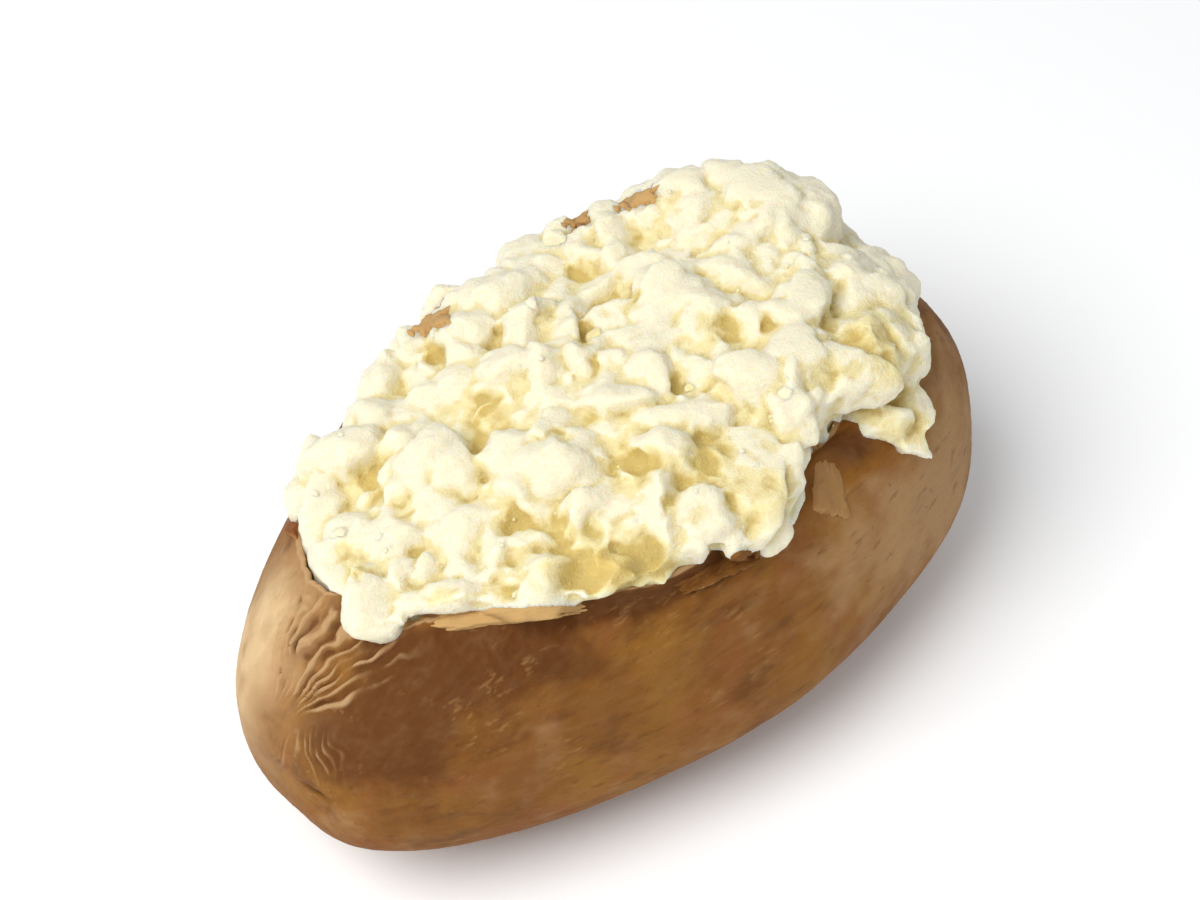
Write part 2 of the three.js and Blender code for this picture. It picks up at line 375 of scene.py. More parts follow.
@dataclass(frozen=True)
class View:
    """Places as the camera sees them: how far to the right of what it aims at, how far up, and how near."""

    at: Triple = (-0.201441, -0.201979, 0.361132)
    aim: Triple = (-0.002483, -0.003021, 0.04864)
    step_in: float = 0.02

    def axes(self) -> Array:
        """Return the directions to the right, up and back towards the camera, one to a row."""
        back = np.array(self.at) - np.array(self.aim)
        back /= np.linalg.norm(back)
        right = np.cross((0.0, 0.0, 1.0), back)
        right /= np.linalg.norm(right)
        return np.stack([right, np.cross(back, right), back])

    def seen(self, points: Array) -> Array:
        """Return how far to the right and up each point appears, in metres at the aim's distance."""
        right, up, near = ((points - np.array(self.aim)) @ self.axes().T).T
        distance = np.linalg.norm(np.array(self.at) - np.array(self.aim))
        return np.stack([right, up], axis=1) * (distance / (distance - near))[:, None]

    def spot(self, surface: Surface, right: float, up: float) -> tuple[Array, Array]:
        """Return the place and normal on a surface that appear at a distance to the right and up.

        A place outside the surface's outline is first brought in to it.
        """
        right_way, up_way, _ = self.axes()
        start, aim = np.array(self.at), np.array(self.aim)
        for share in np.arange(1.0, 0.0, -self.step_in):
            found = surface.struck(start, aim + share * (right * right_way + up * up_way) - start)
            if found:
                return found
        raise ValueError("the surface is not in view")

    def patch(self, points: Array, middle: Sequence[float], half: Sequence[float], place: Array) -> Array:
        """Return 1 at a place, falling off round it on an oval that the camera sees, and behind it.

        Args:
            points: Where to work it out.
            middle: How far to the right and up the middle appears.
            half: How far it reaches to the right, up and back.
            place: The middle as a point.

        Returns:
            A number from 0 to 1 for each point.
        """
        flat = (self.seen(points) - np.array(middle)) / np.array(half[:2])
        back = (points - place) @ self.axes()[2] / half[2]
        return np.exp(-(flat**2).sum(axis=1) - back**2)


class Net:
    """The edges of a mesh, over which values are evened out."""

    def __init__(self, obj: Object) -> None:
        """Read the edges."""
        flat = np.empty(len(obj.data.edges) * 2, dtype=np.int64)
        obj.data.edges.foreach_get("vertices", flat)
        self.ends = flat.reshape(-1, 2)
        self.count = len(obj.data.vertices)
        self.degree = np.maximum(np.bincount(flat, minlength=self.count), 1)

    def evened(self, values: Array, rounds: int, share: float = 0.5) -> Array:
        """Move each vertex's values towards the mean of its neighbours'.

        Args:
            values: One row for each vertex.
            rounds: How many times.
            share: How far each time, from 0 to 1.

        Returns:
            The evened values.
        """
        one, other = self.ends.T
        for _ in range(rounds):
            columns = []
            for column in values.T:
                sums = np.bincount(one, column[other], self.count)
                sums = sums + np.bincount(other, column[one], self.count)
                columns.append(column + share * (sums / self.degree - column))
            values = np.stack(columns, axis=1)
        return values


# ---- The form of the potato ----


@dataclass(frozen=True)
class Swell:
    """A place where the potato swells, or shrinks for a share under 0."""

    toward: Triple
    share: float


@dataclass(frozen=True)
class Ripple:
    """One wave of the torn edge: how many go round, how many degrees high and where it starts."""

    waves: int
    size: float
    phase: float


@dataclass
class JacketForm:
    """The rounded, tapered, bowed body of the potato, as a surface over the unit sphere.

    A direction is given by its azimuth round Z and its polar angle down from +Z, in radians.
    """

    half_length: float = 68.2 * MM
    half_width: float = 39.3 * MM
    half_height: float = 34.2 * MM
    end_power: float = 2.08
    section_power: float = 2.56
    taper: float = 0.179
    bend: float = 0.131
    swell_spread: float = 0.35
    swells: tuple[Swell, ...] = (
        Swell((0.0, -1.0, -0.2), 0.08),
        Swell((0.7, -0.7, -0.2), 0.034),
        Swell((-1.0, 0.0, 0.0), -0.053),
        Swell((-0.55, 0.75, 0.45), -0.035),
    )
    sag_share: float = 0.86
    sag_softness: float = 5 * MM
    rest_cut: float = 0.2 * MM
    tear_angle: float = 51.0
    tear_along: float = 8.0
    tear_across: float = 3.5
    ripples: tuple[Ripple, ...] = (Ripple(3, 1.6, 0.7), Ripple(7, 1.3, 2.1), Ripple(12, 0.9, 4.0))
    lip_flare: float = 0.02
    lip_flare_side: float = 0.02
    lip_flare_spread: float = 11.0
    trough_floor: Triple = (2 * MM, 3 * MM, 25 * MM)
    widest_from: float = 0.8
    normal_step: float = 0.01
    shift: Array = field(default_factory=lambda: np.zeros(3))

    def settle(self, low: Sequence[float], high: Sequence[float]) -> None:
        """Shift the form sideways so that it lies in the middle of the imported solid's box."""
        turns = np.linspace(-math.pi, math.pi, 361)
        azimuth, polar = np.meshgrid(turns, np.linspace(self.widest_from, math.pi, 121))
        points = self.point(azimuth.ravel(), polar.ravel())
        middle = (points.min(axis=0) + points.max(axis=0)) / 2
        self.shift = (np.array(low) + np.array(high)) / 2 - middle
        self.shift[2] = 0.0

    def tear(self, azimuth: Array) -> Array:
        """Return the polar angle, in degrees, at which the skin is torn."""
        waves = sum(r.size * np.sin(r.waves * azimuth + r.phase) for r in self.ripples)
        angle = self.tear_angle + self.tear_along * np.cos(azimuth)
        return angle + self.tear_across * np.sin(azimuth) + waves

    def sagged(self, height: Array) -> Array:
        """Return the height above the flat, softened where the underside sags onto the table."""
        level = self.sag_share * self.half_height

        def soften(value: Array) -> Array:
            """Bend smoothly from 0 to the value."""
            return (value + np.hypot(value, self.sag_softness)) / 2

        lowest = soften(np.float64(level - self.half_height))
        return np.maximum(0.0, soften(height + level) - lowest - self.rest_cut)

    def point(self, azimuth: Array, polar: Array) -> Array:
        """Return the points of the skin in these directions."""
        level = np.sin(polar)
        dx, dy, dz = level * np.cos(azimuth), level * np.sin(azimuth), np.cos(polar)
        section = np.abs(dy) ** self.section_power + np.abs(dz) ** self.section_power
        along = np.abs(dx) ** self.end_power
        reach = (along + section ** (self.end_power / self.section_power)) ** (-1 / self.end_power)
        for swell in self.swells:
            toward = np.array(swell.toward) / np.linalg.norm(swell.toward)
            away = np.sqrt((dx - toward[0]) ** 2 + (dy - toward[1]) ** 2 + (dz - toward[2]) ** 2)
            reach = reach * (1 + swell.share * np.exp(-((away / self.swell_spread) ** 2)))
        flare = self.lip_flare + self.lip_flare_side * np.sin(azimuth)
        reach = reach * (1 + flare * bell(np.degrees(polar) - self.tear(azimuth), 0.0, self.lip_flare_spread))
        share = reach * dx
        thickness = 1 + self.taper * share
        return self.shift + np.stack(
            [
                self.half_length * share,
                self.half_width * (reach * dy * thickness + self.bend * (1 - share * share)),
                self.sagged(self.half_height * reach * dz * thickness),
            ],
            axis=1,
        )

    def normal(self, azimuth: Array, polar: Array) -> Array:
        """Return the outward normals of the skin, from points a small angle to each side."""
        step = self.normal_step
        across = self.point(azimuth + step, polar) - self.point(azimuth - step, polar)
        down = self.point(azimuth, polar + step) - self.point(azimuth, polar - step)
        normal = np.cross(down, across)
        return normal / np.linalg.norm(normal, axis=1, keepdims=True)


# ---- Finishes ----


class Recipe:
    """A material being made: its nodes, its one shader and short ways to wire them."""

    MIX_SHARE = 0
    MIX_ONE = 6
    MIX_OTHER = 7
    MIX_RESULT = 2

    def __init__(self, name: str) -> None:
        """Start a material with a bare shader."""
        self.material = bpy.data.materials.new(name)
        self.material.use_nodes = True
        self.tree = self.material.node_tree
        self.tree.nodes.clear()
        self.shader = self.tree.nodes.new("ShaderNodeBsdfPrincipled")
        output = self.tree.nodes.new("ShaderNodeOutputMaterial")
        self.tree.links.new(self.shader.outputs["BSDF"], output.inputs["Surface"])

    def constants(self, **values: object) -> None:
        """Set sockets of the shader to values that are the same all over; an underscore is a space."""
        for name, value in values.items():
            self.shader.inputs[name.replace("_", " ")].default_value = value

    def feed(self, socket: Socket, source: object) -> None:
        """Link a source to a socket, or set the socket where the source is a plain value."""
        if isinstance(source, bpy.types.NodeSocket):
            self.tree.links.new(source, socket)
        else:
            socket.default_value = source

    def node(self, kind: str, inputs: dict[object, object], **settings: object) -> bpy.types.Node:
        """Add a node.

        Args:
            kind: Its type.
            inputs: What feeds its sockets, by their name or number.
            **settings: Its own settings.

        Returns:
            The node.
        """
        node = self.tree.nodes.new(kind)
        for name, value in settings.items():
            setattr(node, name, value)
        for key, source in inputs.items():
            self.feed(node.inputs[key], source)
        return node

    def attribute(self, name: str) -> Socket:
        """Return a number that is stored on the vertices."""
        return self.node("ShaderNodeAttribute", {}, attribute_name=name).outputs["Fac"]

    def place(self, scale: Triple = (1.0, 1.0, 1.0), shift: Triple = (0.0, 0.0, 0.0)) -> Socket:
        """Return the object coordinates, stretched by a scale and then shifted."""
        whole = self.node("ShaderNodeTexCoord", {}).outputs["Object"]
        inputs = {"Vector": whole, "Scale": scale, "Location": shift}
        return self.node("ShaderNodeMapping", inputs).outputs["Vector"]

    def noise(self, place: Socket, size: float, detail: float = 2.0, roughness: float = 0.5) -> Socket:
        """Return soft noise with hills of a size in metres."""
        inputs = {"Vector": place, "Scale": 1 / size, "Detail": detail, "Roughness": roughness}
        return self.node("ShaderNodeTexNoise", inputs).outputs["Fac"]

    def spread(self, value: Socket, low: float, high: float, start: float = 0.0, end: float = 1.0) -> Socket:
        """Return a value mapped smoothly from low..high to start..end."""
        inputs = {"Value": value, "From Min": low, "From Max": high, "To Min": start, "To Max": end}
        return self.node("ShaderNodeMapRange", inputs, interpolation_type="SMOOTHSTEP").outputs["Result"]

    def sum_of(self, one: object, other: object, kind: str = "ADD") -> Socket:
        """Return the sum of two values, or what another kind of sum gives."""
        return self.node("ShaderNodeMath", {0: one, 1: other}, operation=kind).outputs["Value"]

    def mixed(self, share: object, one: object, other: object) -> Socket:
        """Return one colour with a share of another laid on it."""
        colours = {self.MIX_SHARE: share, self.MIX_ONE: one, self.MIX_OTHER: other}
        return self.node("ShaderNodeMix", colours, data_type="RGBA").outputs[self.MIX_RESULT]

    def bump(self, height: Socket, depth: float) -> Socket:
        """Return normals tilted by a height that is a depth in metres at 1."""
        inputs = {"Height": height, "Distance": depth, "Strength": 1.0}
        return self.node("ShaderNodeBump", inputs).outputs["Normal"]

    def dress(self, obj: Object) -> None:
        """Give the material to an object, in place of any other."""
        obj.data.materials.clear()
        obj.data.materials.append(self.material)


def colour(red: float, green: float, blue: float) -> Four:
    """Return a linear colour with full cover."""
    return (red, green, blue, 1.0)


@dataclass(frozen=True)
class Mottle:
    """A layer of noise laid on a finish, which goes from 0 where the noise is low to most where it is high.

    It holds the size of the noise in metres, its detail and roughness, and how it is stretched and shifted.
    """

    size: float
    detail: float
    roughness: float
    low: float
    high: float
    most: float = 1.0
    stretch: Triple = (1.0, 1.0, 1.0)
    shift: Triple = (0.0, 0.0, 0.0)

    def share(self, mix: Recipe) -> Socket:
        """Return the layer as a number from 0 to most."""
        noise = mix.noise(mix.place(self.stretch, self.shift), self.size, self.detail, self.roughness)
        return mix.spread(noise, self.low, self.high, 0.0, self.most)


@dataclass(frozen=True)
class SkinFinish:
    """Dry, thin, brown skin: mottled, streaked along its length and pale where it is torn. Its wrinkles
    are lighter on their crests, partly from wear and partly as painted highlight, and darker in their
    creases as painted shade, and the top of its far end is painted paler where the key light falls.

    Darkened and lightened say how the stored shade, which holds painted shadow under the near lip, under
    the flesh and under the slab as well as tone, is mapped to a share of dark and of tan, and the two after
    them how the height of the wrinkles is.
    """

    brown: Four = colour(0.222, 0.085, 0.015)
    dark: Four = colour(0.108, 0.036, 0.008)
    ochre: Four = colour(0.280, 0.119, 0.018)
    tan: Four = colour(0.50, 0.31, 0.150)
    pale: Four = colour(0.66, 0.46, 0.25)
    red: Four = colour(0.26, 0.082, 0.024)
    dash: Four = colour(0.43, 0.235, 0.080)
    pit: Four = colour(0.050, 0.020, 0.008)
    torn: Four = colour(0.56, 0.35, 0.14)
    broad: Mottle = Mottle(16 * MM, 3.0, 0.6, 0.38, 0.66)
    blotches: Mottle = Mottle(5 * MM, 4.0, 0.6, 0.50, 0.72, 0.65, (0.25, 1.0, 1.0))
    blushes: Mottle = Mottle(11 * MM, 2.0, 0.5, 0.50, 0.72, 0.5, shift=(0.3, 0.1, 0.2))
    clusters: Mottle = Mottle(9 * MM, 2.0, 0.5, 0.46, 0.62)
    dashes: Mottle = Mottle(1.1 * MM, 2.0, 0.6, 0.56, 0.72, 0.32, (0.22, 1.0, 1.0))
    threads: Mottle = Mottle(1.6 * MM, 2.0, 0.5, 0.60, 0.76, 0.42, (0.3, 1.0, 1.0), (0.1, 0.2, 0.0))
    specks: Mottle = Mottle(0.8 * MM, 1.0, 0.5, 0.68, 0.78, 0.3)
    darkened: Four = (0.0, 1.2, 0.0, 0.95)
    lightened: Four = (0.1, -1.2, 0.0, 0.64)
    worn_and_lit: Four = (-0.1, 0.9, 0.0, 0.85)
    creased: Four = (-0.2, -1.3, 0.0, 0.8)
    fine_stretch: Triple = (0.25, 1.0, 1.0)
    fine_noise: Triple = (0.7 * MM, 5.0, 0.7)
    fine_depth: float = 0.25 * MM
    roughness: Four = (0.3, 0.7, 0.58, 0.74)
    specular: float = 0.09

    def material(self) -> Recipe:
        """Return the finish as a material."""
        mix = Recipe("potato_skin_finish")
        shade, crest = mix.attribute("shade"), mix.attribute("crest")
        base = mix.mixed(self.broad.share(mix), self.brown, self.ochre)
        layers = (
            (self.blotches.share(mix), self.dark),
            (self.blushes.share(mix), self.red),
            (mix.attribute("flush"), self.red),
            # The stored shade is painted shadow under the near lip, the flesh and the slab, together with
            # tone.
            (mix.spread(shade, *self.darkened), self.dark),
            (mix.spread(shade, *self.lightened), self.tan),
            (mix.sum_of(self.dashes.share(mix), self.clusters.share(mix), "MULTIPLY"), self.dash),
            (self.threads.share(mix), self.dark),
            (self.specks.share(mix), self.pit),
            # Painted light: the top of the far end is paler where the key light falls.
            (mix.attribute("pale"), self.pale),
            # Lighter wrinkle crests are partly wear and partly painted highlight; darker creases are painted
            # shade.
            (mix.spread(crest, *self.worn_and_lit), self.tan),
            (mix.spread(crest, *self.creased), self.dark),
            (mix.attribute("pit"), self.pit),
            (mix.attribute("bare"), self.torn),
        )
        for share, tint in layers:
            base = mix.mixed(share, base, tint)
        fine = mix.noise(mix.place(self.fine_stretch), *self.fine_noise)
        mix.feed(mix.shader.inputs["Base Color"], base)
        mix.feed(mix.shader.inputs["Roughness"], mix.spread(fine, *self.roughness))
        mix.feed(mix.shader.inputs["Normal"], mix.bump(fine, self.fine_depth))
        mix.constants(Specular_IOR_Level=self.specular)
        return mix


@dataclass(frozen=True)
class FleshFinish:
    """Soft, mealy, translucent flesh: cream on its crests and yellower, then darker, down in its hollows,
    which is painted shade.

    Yellowed and deepened say how the depth of a hollow is mapped to a share of yellow and of deep. Patches,
    coarse and fine are each the size, detail and roughness of a noise.
    """

    name: str
    reach: float
    cream: Four = colour(0.84, 0.78, 0.595)
    yellow: Four = colour(0.80, 0.70, 0.39)
    deep: Four = colour(0.64, 0.485, 0.165)
    yellowed: Pair = (0.05, 0.60)
    deepened: Pair = (0.60, 1.5)
    patches: Triple = (7 * MM, 3.0, 0.6)
    patched: Four = (0.35, 0.70, -0.12, 0.28)
    coarse: Triple = (1.1 * MM, 4.0, 0.72)
    fine: Triple = (0.45 * MM, 2.0, 0.6)
    meal_depth: float = 0.6 * MM
    scatter: Triple = (1.0, 0.82, 0.5)
    roughness: float = 0.62
    specular: float = 0.3

    def material(self) -> Recipe:
        """Return the finish as a material in which light goes the reach into the flesh."""
        mix = Recipe(self.name)
        here = mix.place()
        patch = mix.spread(mix.noise(here, *self.patches), *self.patched)
        # The depth of the hollows and the listed hollows' tone paint shade; the patches add random tone.
        depth = mix.sum_of(mix.attribute("hollow"), mix.sum_of(patch, mix.attribute("tone")))
        base = mix.mixed(mix.spread(depth, *self.yellowed), self.cream, self.yellow)
        base = mix.mixed(mix.spread(depth, *self.deepened), base, self.deep)
        mix.feed(mix.shader.inputs["Base Color"], base)
        meal = mix.sum_of(mix.noise(here, *self.coarse), mix.noise(here, *self.fine), "MULTIPLY")
        mix.feed(mix.shader.inputs["Normal"], mix.bump(meal, self.meal_depth))
        mix.constants(
            Roughness=self.roughness,
            Specular_IOR_Level=self.specular,
            Subsurface_Weight=1.0,
            Subsurface_Radius=self.scatter,
            Subsurface_Scale=self.reach,
        )
        return mix


# ---- Skin ----


@dataclass(frozen=True)
class Fan:
    """Wrinkles that spread like a fan from a point that the camera sees, in millimetres and degrees.

    It holds where the point appears, how far from it the wrinkles begin and end, the lowest and highest
    direction that they take, the angle from one to the next, and how long and how high each one is.
    """

    right: float
    up: float
    start: float
    end: float
    low: float
    high: float
    pitch: float
    length: float
    height: float


@dataclass(frozen=True)
class SeenOval:
    """An oval on the skin that the camera sees, in millimetres: it is darker over 0 and lighter under 0."""

    right: float
    up: float
    half_right: float
    half_up: float
    strength: float


@dataclass(frozen=True)
class LipRise:
    """A place where a shred of the torn edge stands up above the rest."""

    azimuth: float
    spread: float
    height: float


@dataclass(frozen=True)
class FanStyle:
    """How the wrinkles of a fan bend, waver, swell and break off.

    Reach and sizes are in metres, bend and fade_side in degrees, and fade_in and fade_out in millimetres as
    the camera sees them. A gap is where a wrinkle breaks off, and a knot where it is thicker.
    """

    reach: float = 22 * MM
    bend: float = 8.0
    bend_size: float = 7 * MM
    waver: float = 0.25
    waver_size: float = 2.6 * MM
    waver_shift: float = 9.0
    strand_pitches: float = 3.0
    sway: float = 5.0
    crest_power: float = 1.4
    crest_level: float = 0.42
    gap_scale: Triple = (2.0, 1.8, 1.0)
    gap_shift: float = 5.0
    gap: Pair = (-0.3, 0.2)
    gap_floor: float = 0.08
    knot_mean: float = 0.85
    knot: float = 0.35
    knot_size: float = 2.0 * MM
    fade_in: float = 5.0
    fade_out: float = 6.0
    fade_side: float = 15.0


@dataclass
class JacketSkin:
    """The potato's own skin: the outside, the ragged lip of the split and the wall of the trough.

    Lengths are in metres and azimuths in degrees. What ends in _at is an azimuth with its spread, or a
    place. Shares of the way up from the bottom of the sphere say which of its rings become the outside
    and the lip. Bare_from and bare_to are shares of the roll of the lip, and how much less they are where
    it is rolled out furthest.
    """

    form: JacketForm
    grain: Grain
    view: View
    solid: Surface
    limits: tuple[Array, Array]
    segments: int = 116
    rings: int = 53
    outside_share: float = 0.82
    lip_share: float = 0.89
    crowd_top: float = 0.65
    crowd_end: float = 0.45
    crowd_azimuth: float = 10.0
    pole: float = 0.02
    lip_radius: float = 0.55 * MM
    lip_uneven: Rough = Rough(0.35, 2.5 * MM)
    rolled_at: Pair = (-138.0, 20.0)
    bare_from: Pair = (0.25, 0.25)
    bare_to: Pair = (0.6, 0.45)
    bare_crest: float = 0.8
    inset: float = 0.35 * MM
    calm_height: float = 3 * MM
    far_inset: float = 2.6 * MM
    far_inset_drop: float = 12 * MM
    far_side: Pair = (58.0, 85.0)
    ragged: float = 1.5
    ragged_scale: float = 9.0
    undulation: Rough = Rough(0.40 * MM, 19 * MM)
    fans: tuple[Fan, ...] = (
        Fan(-49.5, -42.0, 4.0, 28.0, 14.0, 92.0, 6.8, 12.0, 0.95),
        Fan(-43.6, -27.0, 13.5, 26.0, -114.0, -68.0, 4.0, 9.0, 0.35),
    )
    crumple: Rough = Rough(0.9 * MM, 2.6 * MM, 3, 0.6)
    crumpled: SeenOval = SeenOval(-43.0, -25.0, 7.5, 8.0, 1.0)
    fan_style: FanStyle = FanStyle()
    # Ovals painted darker or lighter. The first (under the near lip), the fifth (in the gap under the middle
    # flap), the sixth and seventh (just under the flesh) and the eighth (under the slab by the notch) are
    # painted shadow. The rest only make the skin darker or lighter in places.
    shade_and_tone_ovals: tuple[SeenOval, ...] = rows(SeenOval, (
        (-12.0, -31.0, 19.0, 4.5, 0.9), (-30.0, -43.5, 14.0, 9.0, 0.95), (-25.0, -33.0, 16.0, 8.0, 0.8),
        (-44.5, -33.0, 7.0, 8.0, -0.45), (15.1, -16.6, 6.0, 3.2, 1.3), (4.0, -22.0, 9.0, 2.6, 0.9),
        (24.0, -17.5, 6.0, 1.8, 0.6), (38.0, -0.5, 7.0, 2.5, 1.1), (6.0, -40.0, 7.0, 4.0, 0.35),
        (-12.0, -44.5, 9.0, 5.0, -0.35), (45.0, -10.0, 14.0, 15.0, -0.75),
        (34.0, -17.0, 10.0, 6.0, -0.35), (53.0, -3.0, 8.0, 20.0, -0.9), (-37.0, -45.0, 11.0, 8.0, 0.55),
        (-40.0, -56.0, 6.0, 4.0, -0.45),
    ))
    oval_reach: float = 18 * MM
    all_over: Rough = Rough(0.11 * MM, (9 * MM, 1.5 * MM, 1.5 * MM), 3, 0.6)
    crease: float = 0.28 * MM
    crease_size: Triple = (1.9 * MM, 3 * MM, 9 * MM)
    crease_level: float = 0.75
    crease_start: Pair = (0.5 * MM, 2 * MM)
    crease_end: Pair = (10 * MM, 4 * MM)
    curl: float = 1.1 * MM
    curl_width: float = 1.3 * MM
    curl_at: Pair = (-118.0, 42.0)
    groove: float = 0.5 * MM
    groove_below: float = 3 * MM
    line_share: float = 0.8
    crease_share: float = 0.5
    crest_height: float = 0.45 * MM
    rises: tuple[LipRise, ...] = (
        LipRise(58, 60, -1.2 * MM),
        LipRise(-61, 5, 4.4 * MM),
        LipRise(-70, 6, 4.2 * MM),
        LipRise(-138, 22, 0.9 * MM),
    )
    rise_drop: float = 2.5 * MM
    slit: Triple = (-66.2 * MM, -9.5 * MM, 31.4 * MM)
    slit_size: Triple = (2 * MM, 1.7 * MM, 0.45 * MM)
    slit_depth: float = 1.0 * MM
    slit_dark: float = 1.3
    # Where the top of the far end is painted paler, as light that falls there, and how patchy it is.
    pale_at: Triple = (-60 * MM, 13 * MM, 38 * MM)
    pale_size: Triple = (12 * MM, 11 * MM, 18 * MM)
    pale_level: float = 1.1
    pale_patchy: Rough = Rough(0.9, 7 * MM, 3, 0.6)
    # A band of painted shadow just under the near lip: its strength, where it lies round the potato and how
    # far below the edge.
    lip_shade: float = 1.1
    lip_shade_at: Pair = (-112.0, 45.0)
    lip_shade_band: Pair = (2.4 * MM, 1.5 * MM)
    mottle: Rough = Rough(0.85, 6 * MM, 4, 0.62)
    flush: float = 0.55
    flush_down: Pair = (15 * MM, 4 * MM)
    flush_out: Pair = (5 * MM, 20 * MM)

    def sphere(self) -> tuple[Object, Array, Array]:
        """Return a unit sphere, with the azimuth and the share of the way up of each of its points."""
        sizes = {"segments": self.segments, "ring_count": self.rings, "radius": 1.0}
        ball = added(bpy.ops.mesh.primitive_uv_sphere_add, **sizes)
        apply_modifier(ball, "SUBSURF", subdivision_type="SIMPLE", levels=2, render_levels=2)
        points = points_of(ball)
        x, y, z = (points / np.linalg.norm(points, axis=1, keepdims=True)).T
        azimuth = np.arctan2(y, x)
        middle = math.radians(self.crowd_azimuth)
        azimuth = azimuth + self.crowd_end * np.sin(azimuth - middle)
        return ball, azimuth, 1 - np.arccos(np.clip(z, -1.0, 1.0)) / math.pi

    def edge(self, azimuth: Array) -> Array:
        """Return the polar angle, in radians, of the ragged torn edge."""
        circle = np.stack([np.cos(azimuth), np.sin(azimuth), 0 * azimuth], axis=1)
        rag = self.grain.rough(circle * self.ragged_scale, 3, 0.6)
        return np.radians(self.form.tear(azimuth) + self.ragged * rag)

    def relief(self, points: Array, azimuth: Array, below: Array) -> tuple[Array, Array]:
        """Return how far the skin stands out, and how much of that is wrinkle.

        Args:
            points: The smooth skin.
            azimuth: The azimuth of each point.
            below: How far each point lies under the torn edge, in metres.

        Returns:
            The relief in metres, and the wrinkles from about -1 to 1 for colour.
        """
        swell = self.undulation.at(self.grain, points)
        wrinkles = sum(self.fanned(points, fan) for fan in self.fans)
        wrinkles += self.crumple.at(self.grain, points) * self.patch(points, self.crumpled)
        lines = self.all_over.at(self.grain, points)
        near_lip = ease(below, *self.crease_start) * ease(below, *self.crease_end)
        creases = self.grain.folds(points / np.array(self.crease_size), 2, 0.5)
        creases = self.crease * near_lip * (creases - self.crease_level) * 2
        edge = self.curl * bell(below, 0.0, self.curl_width)
        groove = self.groove * bell(below, self.groove_below, self.curl_width)
        curl = around(azimuth, *self.curl_at) * (edge - groove)
        # For colour, raised wrinkles and lines are lighter, partly as painted highlight, and creases darker,
        # as painted shade.
        folded = wrinkles + self.line_share * lines + self.crease_share * np.minimum(creases, 0)
        return swell + wrinkles + lines + creases + curl, folded / self.crest_height

    def fanned(self, points: Array, fan: Fan) -> Array:
        """Return the relief of one fan of wrinkles, in metres: sharp crests with broad hollows between."""
        style = self.fan_style
        place, _ = self.view.spot(self.solid, fan.right * MM, fan.up * MM)
        right, up = (self.view.seen(points) / MM - (fan.right, fan.up)).T
        radius = np.hypot(right, up)
        waver = style.waver * self.grain.hills(points / style.waver_size + style.waver_shift)
        bend = self.grain.hills(points / style.bend_size) + waver
        angle = np.degrees(np.arctan2(up, right)) + style.bend * bend
        across = angle / (style.strand_pitches * fan.pitch)
        strand = np.stack([across, radius / fan.length, 0 * radius], axis=1)
        bent = 2 * math.pi * angle / fan.pitch + style.sway * self.grain.hills(strand)
        fold = (0.5 + 0.5 * np.sin(bent)) ** style.crest_power - style.crest_level
        whole = ease(self.grain.hills(strand * style.gap_scale + style.gap_shift), *style.gap)
        fold *= style.gap_floor + (1 - style.gap_floor) * whole
        fold *= style.knot_mean + style.knot * self.grain.hills(points / style.knot_size)
        share = ease(radius, fan.start, fan.start + style.fade_in)
        share *= ease(radius, fan.end, fan.end - style.fade_out)
        side = ease(angle, fan.low, fan.low + style.fade_side)
        share *= side * ease(angle, fan.high, fan.high - style.fade_side)
        share *= np.exp(-((np.linalg.norm(points - place, axis=1) / style.reach) ** 4))
        return fan.height * MM * share * fold * 2

    def shade(self, points: Array) -> Array:
        """Return how much darker the skin is at each point; lighter is under 0."""
        return sum(self.patch(points, oval) for oval in self.shade_and_tone_ovals)

    def patch(self, points: Array, oval: SeenOval) -> Array:
        """Return the strength of one oval at each point."""
        middle = (oval.right * MM, oval.up * MM)
        place, _ = self.view.spot(self.solid, *middle)
        half = (oval.half_right * MM, oval.half_up * MM, self.oval_reach)
        return oval.strength * self.view.patch(points, middle, half, place)

    def build(self) -> Object:
        """Return the skin, with the numbers that its finish reads."""
        ball, azimuth, up = self.sphere()
        edge = self.edge(azimuth)
        climb = np.clip(up / self.outside_share, 0.0, 1.0) ** self.crowd_top
        polar = math.pi + climb * (edge - math.pi)
        smooth = self.form.point(azimuth, polar)
        normal = self.form.normal(azimuth, np.minimum(polar, math.pi - self.pole))
        rise = smooth - self.form.point(azimuth, polar + self.pole)
        rise /= np.maximum(np.linalg.norm(rise, axis=1, keepdims=True), TINY)
        below = (polar - edge) * self.form.half_width
        relief, wrinkle = self.relief(smooth, azimuth, below)
        slit = bell_at(smooth, self.slit, self.slit_size)
        relief -= self.slit_depth * slit
        calm = ease(smooth[:, 2], 0.0, self.calm_height)
        far = np.exp(-((beyond(azimuth, self.far_side[0]) / self.far_side[1]) ** 4))
        hidden = self.far_inset * far * bell(below, 0.0, self.far_inset_drop)
        outside = smooth + normal * ((relief - self.inset) * calm - hidden)[:, None]
        shreds = sum(r.height * around(azimuth, r.azimuth, r.spread) for r in self.rises)
        outside += rise * (shreds * bell(below, 0.0, self.rise_drop))[:, None]

        turn = np.clip((up - self.outside_share) / (self.lip_share - self.outside_share), 0.0, 1.0) * math.pi
        rolled_lip = around(azimuth, *self.rolled_at)
        uneven = self.lip_uneven.at(self.grain, smooth)
        thickness = self.lip_radius * (1 + uneven + rolled_lip)[:, None]
        rolled = outside + rise * thickness * np.sin(turn)[:, None]
        rolled += normal * thickness * (np.cos(turn) - 1)[:, None]
        place_points(ball, np.clip(self.sunk(rolled, up), *self.limits))
        ball.name = ball.data.name = "potato_skin"

        (low, less), (high, lesser) = self.bare_from, self.bare_to
        bare = ease(turn, (low - less * rolled_lip) * math.pi, (high - lesser * rolled_lip) * math.pi)
        note(ball, "bare", bare)
